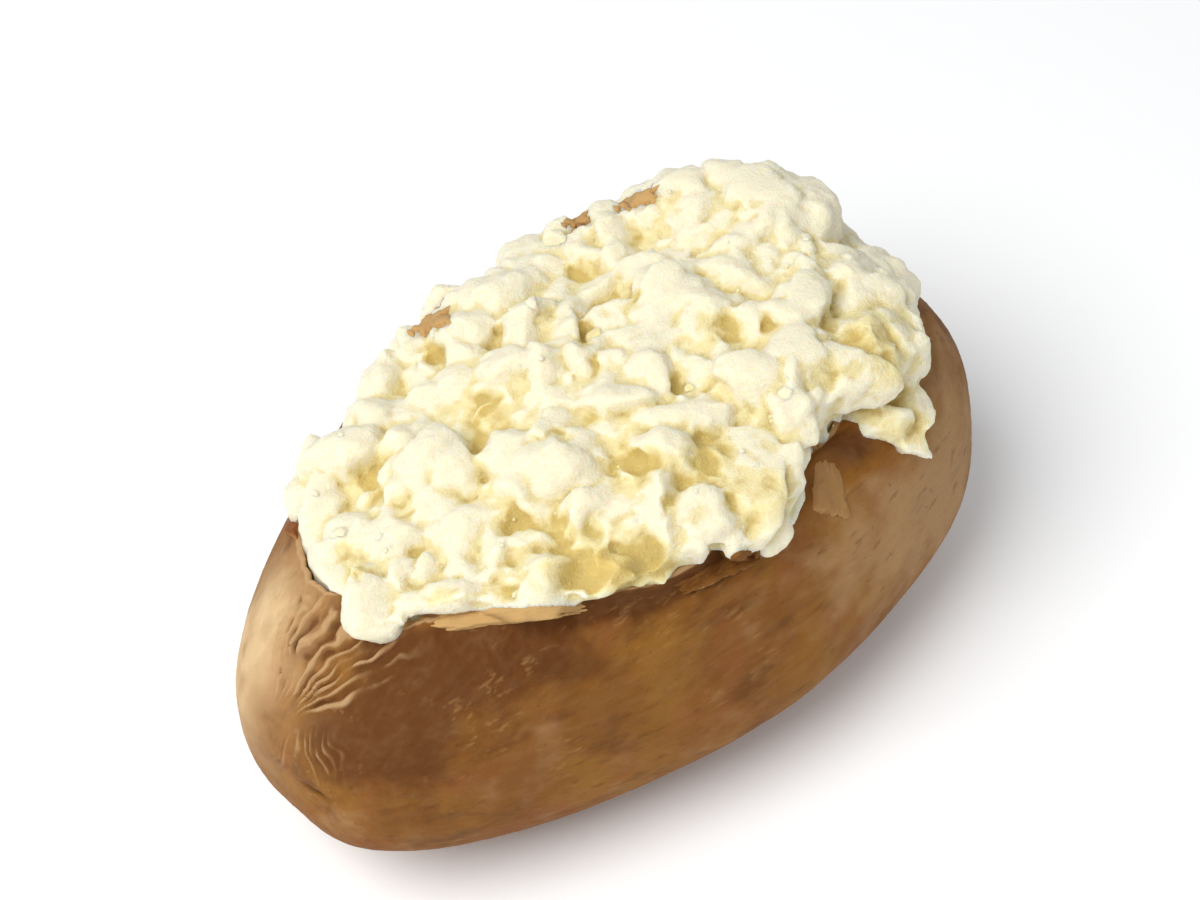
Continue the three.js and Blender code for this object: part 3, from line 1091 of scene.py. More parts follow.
        # The crest value paints wrinkle tops lighter, partly as painted highlight, and creases darker, as
        # painted shade.
        note(ball, "crest", np.where(turn > 0, self.bare_crest, wrinkle * calm))
        self.note_colours(ball, smooth, azimuth, below)
        note(ball, "pit", np.clip(slit * self.slit_dark, 0.0, 1.0))
        activate(ball)
        bpy.ops.object.shade_smooth()
        return ball

    def sunk(self, rolled: Array, up: Array) -> Array:
        """Return the points with those past the lip drawn down to the floor of the trough.

        Args:
            rolled: The points, with those past the lip still on it.
            up: The share of the way up of each.
        """
        sink = np.clip((up - self.lip_share) / (1 - self.lip_share), 0.0, 1.0)[:, None] * (math.pi / 2)
        floor = np.array(self.form.trough_floor) + self.form.shift
        trough = rolled.copy()
        trough[:, :2] = floor[:2] + (rolled[:, :2] - floor[:2]) * np.cos(sink)
        trough[:, 2:] = rolled[:, 2:] + (floor[2] - rolled[:, 2:]) * np.sin(sink)
        return trough

    def note_colours(self, ball: Object, smooth: Array, azimuth: Array, below: Array) -> None:
        """Store how pale, dark and red the skin is. The paleness is painted light on the far end, and the
        darkness holds painted shadow under the near lip as well as tone.

        Args:
            ball: The skin.
            smooth: Its points without their relief.
            azimuth: The azimuth of each.
            below: How far each lies under the torn edge, in metres.
        """
        # Painted light: paler at the top of the far end, where the key light falls, in patches.
        far_end = bell_at(smooth, self.pale_at, self.pale_size)
        far_end *= self.pale_level + self.pale_patchy.at(self.grain, smooth)
        note(ball, "pale", np.clip(far_end, 0.0, 1.0))
        # Painted shadow: a dark band just under the near lip.
        under = around(azimuth, *self.lip_shade_at) * bell(below, *self.lip_shade_band)
        mottle = self.mottle.at(self.grain, smooth)
        note(ball, "shade", self.shade(smooth) + mottle + self.lip_shade * under)
        low_down = ease(smooth[:, 2], *self.flush_down)
        note(ball, "flush", self.flush * low_down * ease(-smooth[:, 1], *self.flush_out))


# ---- Flesh ----


class ChunkShapes:
    """A few differently broken lumps of flesh, each about one unit from its middle to its side."""

    FACES = 11
    FACE_DEPTH = (0.72, 1.15)
    CORE = 0.7
    ROUGHNESS = 0.13
    ROUGH_SCALE = 1.5
    FAR = 50
    STRETCH = (0.72, 1.28)

    def __init__(self, draw: np.random.Generator, grain: Grain, count: int, detail: int, edge: float) -> None:
        """Break the lumps.

        Args:
            draw: The source of random numbers.
            grain: The noise that roughens them.
            count: How many different ones.
            detail: How often the ball they start from is subdivided.
            edge: How sharp the edges between their broken faces are; 4 is soft and 16 is crisp.
        """
        ball = added(bpy.ops.mesh.primitive_ico_sphere_add, subdivisions=detail, radius=1.0)
        ways = points_of(ball)
        ways /= np.linalg.norm(ways, axis=1, keepdims=True)
        self.triangles = np.array([tuple(face.vertices) for face in ball.data.polygons])
        discard(ball)
        self.shapes = [self.broken(draw, grain, ways, edge) for _ in range(count)]

    def broken(self, draw: np.random.Generator, grain: Grain, ways: Array, edge: float) -> Array:
        """Return the points of one lump: a ball cut by random planes with rounded edges, then roughened."""
        faces = draw.normal(size=(self.FACES, 3))
        faces /= np.linalg.norm(faces, axis=1, keepdims=True)
        depth = draw.uniform(*self.FACE_DEPTH, self.FACES)
        cuts = np.maximum(ways @ (faces / depth[:, None]).T, 0.0)
        reach = (self.CORE**edge + (cuts**edge).sum(axis=1)) ** (-1 / edge)
        away = draw.uniform(-self.FAR, self.FAR, 3)
        reach *= 1 + self.ROUGHNESS * grain.rough(ways * self.ROUGH_SCALE + away, 3, 0.55)
        return ways * reach[:, None]

    def scattered(
        self, name: str, draw: np.random.Generator, places: Array, sizes: Array
    ) -> tuple[Object, Array]:
        """Return an object with a turned, stretched lump at each place, and each vertex's lump number."""
        count = len(places)
        turns = random_turns(draw, count)
        stretch = draw.uniform(*self.STRETCH, (count, 3)) * sizes[:, None]
        picks = draw.integers(0, len(self.shapes), count)
        shapes = np.stack(self.shapes)[picks]
        points = np.einsum("nij,nvj->nvi", turns, shapes * stretch[:, None, :]) + places[:, None, :]
        each = shapes.shape[1]
        triangles = self.triangles[None] + (np.arange(count) * each)[:, None, None]
        obj = mesh_from(name, points.reshape(-1, 3), triangles.reshape(-1, 3))
        return obj, np.repeat(np.arange(count), each)


@dataclass(frozen=True)
class LumpKind:
    """One kind of lump that the heap is made of: how many, how far apart, how large and how deep they lie.

    Each lump's middle lies under the heap's outline by its half size times a share from depth, and a lump
    near an edge is made smaller, so that its half size times tight stays within the outline. It keeps clear
    of a listed lump by clear times that lump's half size. The higher the skew, the more of the
    lumps are small.
    """

    name: str
    count: int
    spacing: float
    least: float
    most: float
    skew: float
    depth: Pair
    tight: float
    detail: int
    edge: float
    clear: float


@dataclass(frozen=True)
class Lump:
    """One large lump of flesh on the side that the camera sees, in millimetres and degrees.

    It is given by how far to the right and up it appears, its half sizes, its turn and how far it stands out.
    """

    right: float
    up: float
    half_right: float
    half_up: float
    turn: float
    stand: float


@dataclass(frozen=True)
class Hollow:
    """A yellow hollow between lumps, dented and painted yellower and darker as shade, placed and sized like a
    lump, and how deep and yellow: 1 is plain.
    """

    right: float
    up: float
    half_right: float
    half_up: float
    strength: float


class Outline:
    """A closed line that the camera sees, with its corners in millimetres to the right and up."""

    def __init__(self, corners: Sequence[Pair]) -> None:
        """Keep the corners."""
        self.corners = np.array(corners) * MM

    def depth(self, seen: Array) -> tuple[Array, Array]:
        """Return how deep each place lies inside the line, and the way inward from there.

        Args:
            seen: How far to the right and up each place appears.

        Returns:
            The depth in metres, under 0 outside, and a unit vector to the right and up.
        """
        best = np.full(len(seen), np.inf)
        nearest = np.zeros_like(seen)
        inside = np.zeros(len(seen), dtype=bool)
        for start, end in zip(self.corners, np.roll(self.corners, -1, axis=0)):
            side = end - start
            share = np.clip((seen - start) @ side / (side @ side), 0.0, 1.0)
            foot = start + share[:, None] * side
            away = ((seen - foot) ** 2).sum(axis=1)
            closer = away < best
            best[closer] = away[closer]
            nearest[closer] = foot[closer]
            between = (seen[:, 1] < start[1]) != (seen[:, 1] < end[1])
            if start[1] != end[1]:
                crossing = start[0] + (seen[:, 1] - start[1]) * side[0] / side[1]
                inside ^= between & (seen[:, 0] < crossing)
        sign = np.where(inside, 1.0, -1.0)
        distance = np.sqrt(best)
        inward = (seen - nearest) * sign[:, None] / np.maximum(distance, TINY)[:, None]
        return distance * sign, inward


def spaced(draw: np.random.Generator, points: Array, spacing: float, limit: int) -> list[int]:
    """Pick points in random order that keep apart from each other.

    Args:
        draw: The source of random numbers.
        points: The points to pick from.
        spacing: How far apart they must be.
        limit: The most to pick.

    Returns:
        The numbers of the picked points.
    """
    picked: list[int] = []
    kept = np.empty((limit, 3))
    for index in draw.permutation(len(points)):
        count = len(picked)
        if count == limit:
            break
        if count and ((kept[:count] - points[index]) ** 2).sum(axis=1).min() < spacing**2:
            continue
        kept[count] = points[index]
        picked.append(int(index))
    return picked


@dataclass
class FleshHeap:
    """The heap of flesh: a core of broken lumps, with loose chunks and crumbs lying on it."""

    grain: Grain
    view: View
    ceiling: float
    lip: Array
    seed: int = 41
    cut_level: float = 43 * MM
    guide_voxel: float = 1.0 * MM
    core_voxel: float = 0.42 * MM
    core_shrink: float = 1.7 * MM
    softened: int = 3
    sharp_lump: float = 9.0
    lump_detail: int = 4
    lump_flat: float = 0.8
    lump_deepest: float = 5.0
    lump_sunk: float = 0.85
    least_share: float = 0.35
    shapes_each: int = 14
    open_gap: Pair = (0.7 * MM, 3.5 * MM)
    kinds: tuple[LumpKind, ...] = (
        LumpKind("big_lumps", 220, 4.8 * MM, 3.2 * MM, 6.0 * MM, 1.4, (0.85, 1.1), 0.85, 4, 8.0, 0.85),
        LumpKind("small_lumps", 170, 3.2 * MM, 1.0 * MM, 2.3 * MM, 1.5, (0.8, 1.5), 0.7, 3, 8.0, 0.5),
    )
    warp: float = 0.40 * MM
    warp_size: float = 3.0 * MM
    relief: Rough = Rough(0.27 * MM, 2.2 * MM, 4, 0.62)
    crumbly: float = 0.22 * MM
    crumbly_size: float = 1.1 * MM
    crumbly_least: float = 0.6
    crumbly_along: Pair = (-5 * MM, 35 * MM)
    dent: float = 0.7 * MM
    dent_most: float = 1.3
    dent_reach: float = 9 * MM
    patchy: Rough = Rough(0.5, 2.5 * MM, 3, 0.6)
    ragged: float = 1.3 * MM
    ragged_size: float = 2.6 * MM
    triangles: int = 195_000
    placed: tuple[Lump, ...] = rows(Lump, (
        (-37.8, -0.7, 7.1, 5.6, 20, 1.0), (-41.9, -10.4, 2.7, 6.2, 5, 0.6),
        (-26.0, -0.3, 6.2, 5.5, 0, 0.6), (-11.9, -3.0, 8.9, 3.7, 25, 1.0),
        (-20.8, -12.2, 6.1, 5.3, 5, 1.1), (-30.1, -5.9, 1.8, 2.1, 0, 0.7),
        (-32.7, -11.9, 4.5, 4.3, 0, 0.5), (-32.5, -22.0, 4.7, 5.3, -10, 0.9),
        (-29.7, -18.9, 1.9, 3.3, 0, 1.1), (-9.2, -18.1, 6.2, 4.5, 15, 0.5),
        (-22.0, -20.5, 6.8, 2.5, 0, 1.0), (-15.1, -21.4, 5.0, 1.9, 0, 0.8),
        (1.5, -18.1, 5.3, 2.7, 15, 0.4), (-1.2, -4.2, 4.5, 6.7, 10, 0.5), (3.7, 8.5, 6.2, 2.5, 0, 0.7),
        (3.7, 3.0, 5.9, 3.3, 0, 0.0), (23.5, -5.0, 7.4, 8.0, -20, 1.0), (16.3, -8.6, 3.3, 3.0, 0, 0.8),
        (30.1, 3.7, 3.6, 4.0, 0, 0.5), (41.3, 4.0, 4.5, 3.0, -8, 3.6), (45.0, 2.1, 5.0, 2.1, -20, 3.6),
        (45.4, 5.3, 3.0, 3.6, 10, 3.2), (26.4, -9.2, 4.5, 5.3, -10, 0.3), (29.7, -3.0, 2.2, 4.5, 0, 0.3),
        (13.4, 39.2, 4.5, 3.0, 0, 0.6), (25.2, 38.3, 3.9, 3.0, 0, 0.6), (43.8, 7.4, 2.1, 2.4, 0, 0.8),
        (5.2, -13.1, 6.5, 5.3, 10, -0.3), (-31.9, 11.6, 1.9, 5.3, 0, 1.0),
        (-14.8, 22.6, 7.4, 6.2, 20, 0.6), (-15.1, 13.7, 6.2, 3.6, 10, 0.6),
        (-7.7, 11.6, 3.6, 5.0, 0, 0.3), (-1.5, 24.2, 4.2, 2.1, 25, 0.7), (5.5, 34.7, 4.7, 2.8, 0, 0.4),
        (13.7, 37.1, 4.5, 4.0, 0, 0.3), (15.7, 31.9, 8.0, 3.7, 10, 0.7), (24.5, 37.8, 5.5, 3.7, 0, 0.2),
        (27.2, 33.2, 2.8, 3.1, 0, 0.2), (33.4, 34.1, 3.9, 3.9, 0, 0.2), (20.3, 26.7, 7.7, 4.2, 0, 0.1),
        (8.5, 23.7, 2.7, 4.9, 0, 0.5), (17.1, 20.3, 1.6, 2.7, 0, 0.4), (31.6, 21.5, 4.0, 2.1, 15, 1.0),
        (31.9, 17.5, 4.2, 1.5, -5, 0.8), (6.7, 16.0, 6.7, 4.6, 0, 0.5), (22.3, 11.9, 5.0, 3.9, -10, 1.0),
        (27.9, 9.2, 1.5, 4.7, 0, 0.5), (42.3, 22.0, 5.6, 5.9, -35, 0.2), (38.3, 26.4, 2.5, 3.9, 0, 0.2),
        (30.6, 28.1, 1.6, 1.9, 0, 0.7), (37.8, 12.6, 6.5, 4.5, -15, 0.0), (-5.9, 17.8, 3.0, 4.5, 0, 0.2),
        (-25.2, 8.2, 4.5, 2.7, 10, 0.2), (14.8, 5.2, 7.4, 3.0, 0, 0.2), (-43.0, -4.5, 3.6, 4.5, 10, 0.3),
        (-41.0, 0.0, 3.3, 3.9, 20, 0.3), (-37.8, 4.5, 3.0, 3.6, 30, 0.3), (-35.3, 8.6, 2.7, 3.3, 20, 0.3),
        (-32.1, 13.1, 3.0, 3.3, 10, 0.3), (-27.9, 16.9, 3.0, 3.0, 0, 0.3),
        (-23.7, 19.6, 3.3, 3.0, 10, 0.3), (-19.3, 22.6, 3.6, 3.0, 10, 0.4),
        (-15.1, 25.5, 3.6, 3.0, 20, 0.4), (-11.3, 28.2, 3.6, 3.0, 20, 0.4),
        (-7.1, 30.6, 3.6, 2.7, 20, 0.4), (-2.4, 32.7, 3.6, 2.4, 20, 0.3), (2.4, 34.7, 3.3, 2.4, 10, 0.3),
    ))
    # The yellow of these hollows is painted shade. Those on the slab by the notch, low on the near side and
    # on the lobe mark flesh that lies in shade.
    hollows: tuple[Hollow, ...] = rows(Hollow, (
        (-17.5, 5.6, 3.2, 2.8, 1.3), (-17.8, 0.3, 2.4, 3.0, 0.8), (-36.4, -18.3, 1.9, 1.3, 1.3),
        (-38.1, -13.4, 1.3, 3.7, 0.6), (-33.4, -4.5, 3.4, 3.4, 0.6), (-5.2, -11.1, 2.1, 3.3, 1.2),
        (-12.6, -10.8, 3.4, 2.4, 1.3), (-14.1, -20.8, 2.1, 1.8, 1.2), (5.9, -2.2, 3.6, 3.8, 1.3),
        (14.8, -0.7, 4.4, 4.2, 1.3), (10.1, -8.2, 1.2, 1.8, 1.2), (-2.2, 17.1, 1.3, 2.7, 1.0),
        (-1.2, 13.1, 1.0, 1.3, 1.1), (5.0, 22.7, 1.3, 1.8, 1.2), (24.8, 18.1, 1.2, 1.0, 1.3),
        (18.6, 18.6, 4.4, 3.4, 0.9), (36.4, 12.2, 6.2, 3.0, 0.7), (-3.0, 26.7, 2.5, 1.8, 0.8),
        (0.9, 20.8, 1.8, 1.8, 0.7), (-24.8, 14.1, 1.3, 1.5, 1.0), (-23.6, 18.3, 1.0, 0.9, 0.9),
        (11.1, 9.6, 1.6, 1.8, 0.7), (22.0, 36.4, 3.3, 1.8, 0.6), (-2.2, -20.8, 1.8, 1.2, 1.2),
        (-27.9, -15.7, 0.7, 1.3, 1.0), (-28.8, -9.5, 1.2, 1.2, 0.7), (-6.7, 2.2, 2.8, 0.6, 0.8),
        (31.9, 25.2, 2.5, 1.2, 0.6), (-14.8, 17.1, 1.5, 1.5, 0.4), (-9.4, 19.6, 1.0, 0.7, 0.6),
        (5.9, 30.7, 1.8, 1.0, 0.4), (2.2, -17.5, 11.0, 4.6, 2.0), (44.5, 3.3, 5.9, 3.6, 1.3),
        (41.6, 15.6, 7.4, 8.9, 0.95), (24.5, -5.9, 6.2, 7.4, 0.8), (-22.3, -21.7, 5.9, 1.5, 0.9),
    ))
    corners: tuple[Pair, ...] = (
        (-46.6, -6.2), (-45.9, -2.7), (-43.9, 1.5), (-40.4, 5.2), (-37.7, 8.6), (-35.6, 13.1),
        (-33.2, 16.3), (-29.4, 18.4), (-23.7, 22.6), (-20.5, 23.7), (-16.3, 27.6), (-10.4, 31.5),
        (-5.9, 35.0), (0.0, 36.5), (4.5, 38.9), (9.5, 41.3), (16.6, 42.7), (20.2, 41.3),
        (23.5, 43.0), (29.7, 42.6), (36.4, 39.2), (37.6, 32.1), (45.3, 27.0), (49.6, 20.8),
        (49.9, 17.5), (47.9, 13.1), (47.8, 9.8), (44.2, 8.3), (39.5, 7.7), (33.5, 7.1),
        (28.2, 2.1), (30.6, -1.8), (31.6, -7.4), (29.5, -14.1), (22.0, -15.9), (19.3, -14.2),
        (14.2, -16.8), (10.1, -21.1), (3.3, -22.3), (-0.9, -23.7), (-8.2, -24.6), (-17.8, -23.2),
        (-28.2, -24.3), (-29.7, -27.2), (-34.1, -28.2), (-37.1, -26.1), (-40.4, -22.9), (-43.6, -18.7),
        (-45.1, -10.7),
    )
    outline_inset: float = 0.6 * MM
    outline_soft: float = 2.5 * MM
    bed_sink: float = 2.2 * MM
    bed_edge: float = 1.5 * MM
    above_lip: Pair = (-0.5 * MM, 1.5 * MM)
    inside_lip: Pair = (1.5 * MM, 0.3 * MM)
    ceiling_soft: float = 1.5 * MM
    press: Hollow = Hollow(23.0, 44.5, 17.0, 11.0, 1.0)
    chunk_count: int = 8
    crumb_count: int = 60
    chunk_sizes: Pair = (0.9 * MM, 1.9 * MM)
    crumb_sizes: Pair = (0.25 * MM, 0.6 * MM)
    loose_inset: float = 2 * MM
    loose_above: float = 3 * MM
    loose_tilt: float = -0.35
    loose_picks: int = 9000
    loose_spacing: float = 1.5
    loose_sunk: Pair = (-0.9, -0.4)
    loose_shapes: int = 10
    loose_edge: float = 14.0
    loose_hollow: float = 0.6
    loose_tone: float = 0.15
    wide_rounds: int = 60
    near_rounds: int = 8
    round_share: float = 0.9
    wide_depth: float = 1.6 * MM
    near_depth: float = 0.4 * MM
    near_share: float = 0.5
    depth_limits: Pair = (-0.4, 1.4)

    def __post_init__(self) -> None:
        """Start the random numbers."""
        self.draw = np.random.default_rng(self.seed)
        self.outline = Outline(self.corners)

    def lowered(self, points: Array) -> Array:
        """Press what would stand above the ceiling softly back under it."""
        soft = self.ceiling_soft
        over = np.maximum(points[:, 2] - (self.ceiling - soft), 0.0)
        points[:, 2] = np.where(over > 0, self.ceiling - soft * np.exp(-over / soft), points[:, 2])
        return points

    def placed_lumps(self, surface: Surface) -> tuple[list[Object], Array, Array]:
        """Return the listed lumps, and the middle and mean half size of each."""
        count = len(self.placed)
        shapes = ChunkShapes(self.draw, self.grain, count, self.lump_detail, self.sharp_lump)
        axes = self.view.axes()
        made, middles, halves = [], [], []
        for number, (lump, shape) in enumerate(zip(self.placed, shapes.shapes)):
            place, normal = self.view.spot(surface, lump.right * MM, lump.up * MM)
            mean = math.sqrt(lump.half_right * lump.half_up)
            deep = min(self.lump_flat * mean, self.lump_deepest)
            half = np.array((lump.half_right, lump.half_up, deep)) * MM
            cosine, sine = math.cos(math.radians(lump.turn)), math.sin(math.radians(lump.turn))
            ways = np.array(((cosine, sine, 0), (-sine, cosine, 0), (0, 0, 1))) @ axes
            reach = self.lump_sunk * np.linalg.norm(half * (ways @ normal))
            middle = place + normal * (lump.stand * MM - reach)
            made.append(mesh_from(f"lump_{number}", middle + (shape * half) @ ways, shapes.triangles))
            middles.append(place)
            halves.append(mean * MM)
        return made, np.array(middles), np.array(halves)

    def scattered_lumps(self, guide: Object, gap: Array, middles: Array, halves: Array) -> list[Object]:
        """Return the other lumps, in random places that keep clear of the listed ones.

        Args:
            guide: The heap's smooth outline.
            gap: How far each of its points is from the potato.
            middles: Where the listed lumps are.
            halves: The mean half size of each.
        """
        points, normals = points_of(guide), normals_of(guide)
        surface = Surface(guide)
        away = np.linalg.norm(points[:, None, :] - middles[None, :, :], axis=2) / halves
        nearest = away.min(axis=1)
        made = []
        for kind in self.kinds:
            fit = (gap > self.open_gap[0]) & (points[:, 2] > self.cut_level) & (nearest > kind.clear)
            open_side = np.flatnonzero(fit)
            index = open_side[spaced(self.draw, points[open_side], kind.spacing, kind.count)]
            sizes = kind.least + (kind.most - kind.least) * self.draw.random(len(index)) ** kind.skew
            depth = sizes * self.draw.uniform(*kind.depth, len(index))
            centres = points[index] - normals[index] * depth[:, None]
            inside, _ = self.outline.depth(self.view.seen(centres))
            sizes = np.minimum(sizes, np.minimum(surface.gap(centres), inside) / kind.tight)
            kept = sizes > self.least_share * kind.least
            shapes = ChunkShapes(self.draw, self.grain, self.shapes_each, kind.detail, kind.edge)
            lumps, _ = shapes.scattered(kind.name, self.draw, centres[kept], sizes[kept])
            LOG.info("%s: %d", kind.name, kept.sum())
            made.append(lumps)
        return made

    def core(self, solid: Object) -> Object:
        """Return the heap's core with its relief, and the numbers that its finish reads."""
        guide = merged_copy(Node.HEAP, "heap_guide")
        apply_modifier(guide, "REMESH", mode="VOXEL", voxel_size=self.guide_voxel, use_smooth_shade=True)
        place_points(guide, Net(guide).evened(self.fitted(points_of(guide)), 3))
        gap = Surface(solid).gap(points_of(guide))
        surface = Surface(guide, solid)
        placed, middles, halves = self.placed_lumps(surface)
        lumps = placed + self.scattered_lumps(guide, gap, middles, halves)
        points = points_of(guide)
        points -= normals_of(guide) * (self.core_shrink * ease(gap, *self.open_gap))[:, None]
        place_points(guide, points)
        cut = {"plane_co": (0, 0, self.cut_level), "plane_no": (0, 0, 1), "clear_inner": True}
        edit_all(guide, bpy.ops.mesh.bisect, use_fill=True, **cut)
        core = joined("flesh_heap", [guide, *lumps])
        apply_modifier(core, "REMESH", mode="VOXEL", voxel_size=self.core_voxel, use_smooth_shade=True)
        self.roughen(core, surface)
        count = triangles_of(core)
        LOG.info("core before thinning: %d triangles", count)
        apply_modifier(core, "DECIMATE", ratio=min(1.0, self.triangles / count))
        core.data.validate()
        self.note_depth(core)
        points = points_of(core)
        # Tone paints shade in the listed hollows, in patches.
        patchy = 1.0 + self.patchy.at(self.grain, points)
        note(core, "tone", patchy * self.within(points, surface))
        return core

    def roughen(self, core: Object, surface: Surface) -> None:
        """Soften the core, and give it its relief, its crumbly grain and its hollows.

        Args:
            core: The core.
            surface: What the hollows are placed on.
        """
        net = Net(core)
        points = net.evened(points_of(core), self.softened)
        place_points(core, points)
        normals = net.evened(normals_of(core), 2)
        normals /= np.linalg.norm(normals, axis=1, keepdims=True)
        relief = self.relief.at(self.grain, points)
        along = ease(points[:, 0], *self.crumbly_along)
        crumbly = self.crumbly_least + (1 - self.crumbly_least) * along
        relief += self.crumbly * crumbly * self.grain.rough(points / self.crumbly_size, 2, 0.6)
        relief -= self.dent * np.minimum(self.within(points, surface), self.dent_most)
        drift = self.warp * self.grain.drift(points / self.warp_size)
        place_points(core, self.lowered(points + drift + normals * relief[:, None]))

    def fitted(self, points: Array) -> Array:
        """Draw points that stand above the torn edge in, so that the camera sees them inside the outline."""
        axes = self.view.axes()
        press = self.press
        away = (self.view.seen(points) / MM - (press.right, press.up)) / (press.half_right, press.half_up)
        points = points - np.outer(press.strength * MM * np.exp(-(away**2).sum(axis=1)), axes[1])
        depth, inward = self.outline.depth(self.view.seen(points))
        depth -= self.outline_inset
        soft = self.outline_soft
        drawn = np.where(depth < soft, soft * np.exp((np.minimum(depth, soft) - soft) / soft) - depth, 0.0)
        above = ease(points[:, 2] - self.lip_level(points), *self.above_lip)
        within, _ = Outline(self.lip[:, :2] / MM).depth(points[:, :2])
        above = np.maximum(above, ease(within, *self.inside_lip))
        points = points + ((drawn * above)[:, None] * inward) @ axes[:2]
        points[:, 2] -= self.bed_sink * (1 - above) * ease(-depth, 0.0, self.bed_edge)
        return points

    def lip_level(self, points: Array) -> Array:
        """Return the height of the nearest part of the torn edge at each point."""
        best = np.full(len(points), np.inf)
        level = np.zeros(len(points))
        for place in self.lip:
            away = ((points[:, :2] - place[:2]) ** 2).sum(axis=1)
            closer = away < best
            best[closer] = away[closer]
            level[closer] = place[2]
        return level

    def within(self, points: Array, surface: Surface) -> Array:
        """Return how much of a listed hollow there is at each point."""
        points = points + self.ragged * self.grain.drift(points / self.ragged_size)
        total = np.zeros(len(points))
        for hollow in self.hollows:
            middle = (hollow.right * MM, hollow.up * MM)
            place, _ = self.view.spot(surface, *middle)
            half = (hollow.half_right * MM, hollow.half_up * MM, self.dent_reach)
            total = np.maximum(total, hollow.strength * self.view.patch(points, middle, half, place))
        return total

    def note_depth(self, core: Object) -> None:
        """Store how deep each point lies in the hollows round it, which the finish paints as shade."""
        net = Net(core)
        points, normals = points_of(core), normals_of(core)
        wide, near = (
            ((net.evened(points, rounds, self.round_share) - points) * normals).sum(axis=1)
            for rounds in (self.wide_rounds, self.near_rounds)
        )
        depth = wide / self.wide_depth + self.near_share * near / self.near_depth
        note(core, "hollow", np.clip(depth, *self.depth_limits))

    def loose(self, name: str, core: Object, count: int, sizes: Pair, detail: int) -> Object:
        """Return loose bits lying on the core.

        Args:
            name: The piece's name.
            core: The core that they lie on.
            count: How many.
            sizes: The half sizes of the smallest and the largest.
            detail: How often the ball they start from is subdivided.

        Returns:
            The piece, with the numbers that its finish reads.
        """
        points, normals = points_of(core), normals_of(core)
        inside, _ = self.outline.depth(self.view.seen(points))
        upper = (points[:, 2] > self.cut_level + self.loose_above) & (normals[:, 2] > self.loose_tilt)
        top = np.flatnonzero(upper & (inside > self.loose_inset))
        picks = self.draw.choice(top, self.loose_picks, replace=False)
        index = picks[spaced(self.draw, points[picks], sizes[0] * self.loose_spacing, count)]
        half = sizes[0] + (sizes[1] - sizes[0]) * self.draw.random(len(index)) ** 2
        sunk = half * self.draw.uniform(*self.loose_sunk, len(index))
        places = points[index] + normals[index] * sunk[:, None]
        shapes = ChunkShapes(self.draw, self.grain, self.loose_shapes, detail, self.loose_edge)
        piece, owner = shapes.scattered(name, self.draw, places, half)
        place_points(piece, self.lowered(points_of(piece)))
        # Each chunk takes on the painted shade of the hollow it lies in.
        depth = np.empty(len(core.data.vertices), dtype=np.float32)
        core.data.attributes["hollow"].data.foreach_get("value", depth)
        note(piece, "hollow", (depth[index] * self.loose_hollow)[owner])
        tone = self.draw.uniform(-self.loose_tone, self.loose_tone, len(index))
        note(piece, "tone", tone[owner])
        LOG.info("%s: %d", name, len(index))
        return piece

    def build(self, solid: Object) -> tuple[Object, Object, Object]:
        """Return the core, the loose chunks and the crumbs, for the potato's solid."""
        core = self.core(solid)
        chunks = self.loose("flesh_chunks", core, self.chunk_count, self.chunk_sizes, 3)
        crumbs = self.loose("flesh_crumbs", core, self.crumb_count, self.crumb_sizes, 2)
        return core, chunks, crumbs


# ---- Torn flaps of skin ----


@dataclass(frozen=True)
class Flap:
    """A torn flap of skin that lies on the potato: its corners, how it lifts and how bare it is.

    Lengths are in millimetres. Each corner is given by how far to the right and up it appears to the camera.
    The first two are the edge that it hangs from, and the last two its free edge. Bareness, shade and flush
    are the levels that the skin's finish reads.
    """

    corners: tuple[Pair, ...]
    lift: float
    thickness: float
    bareness: float
    shade: float
    flush: float


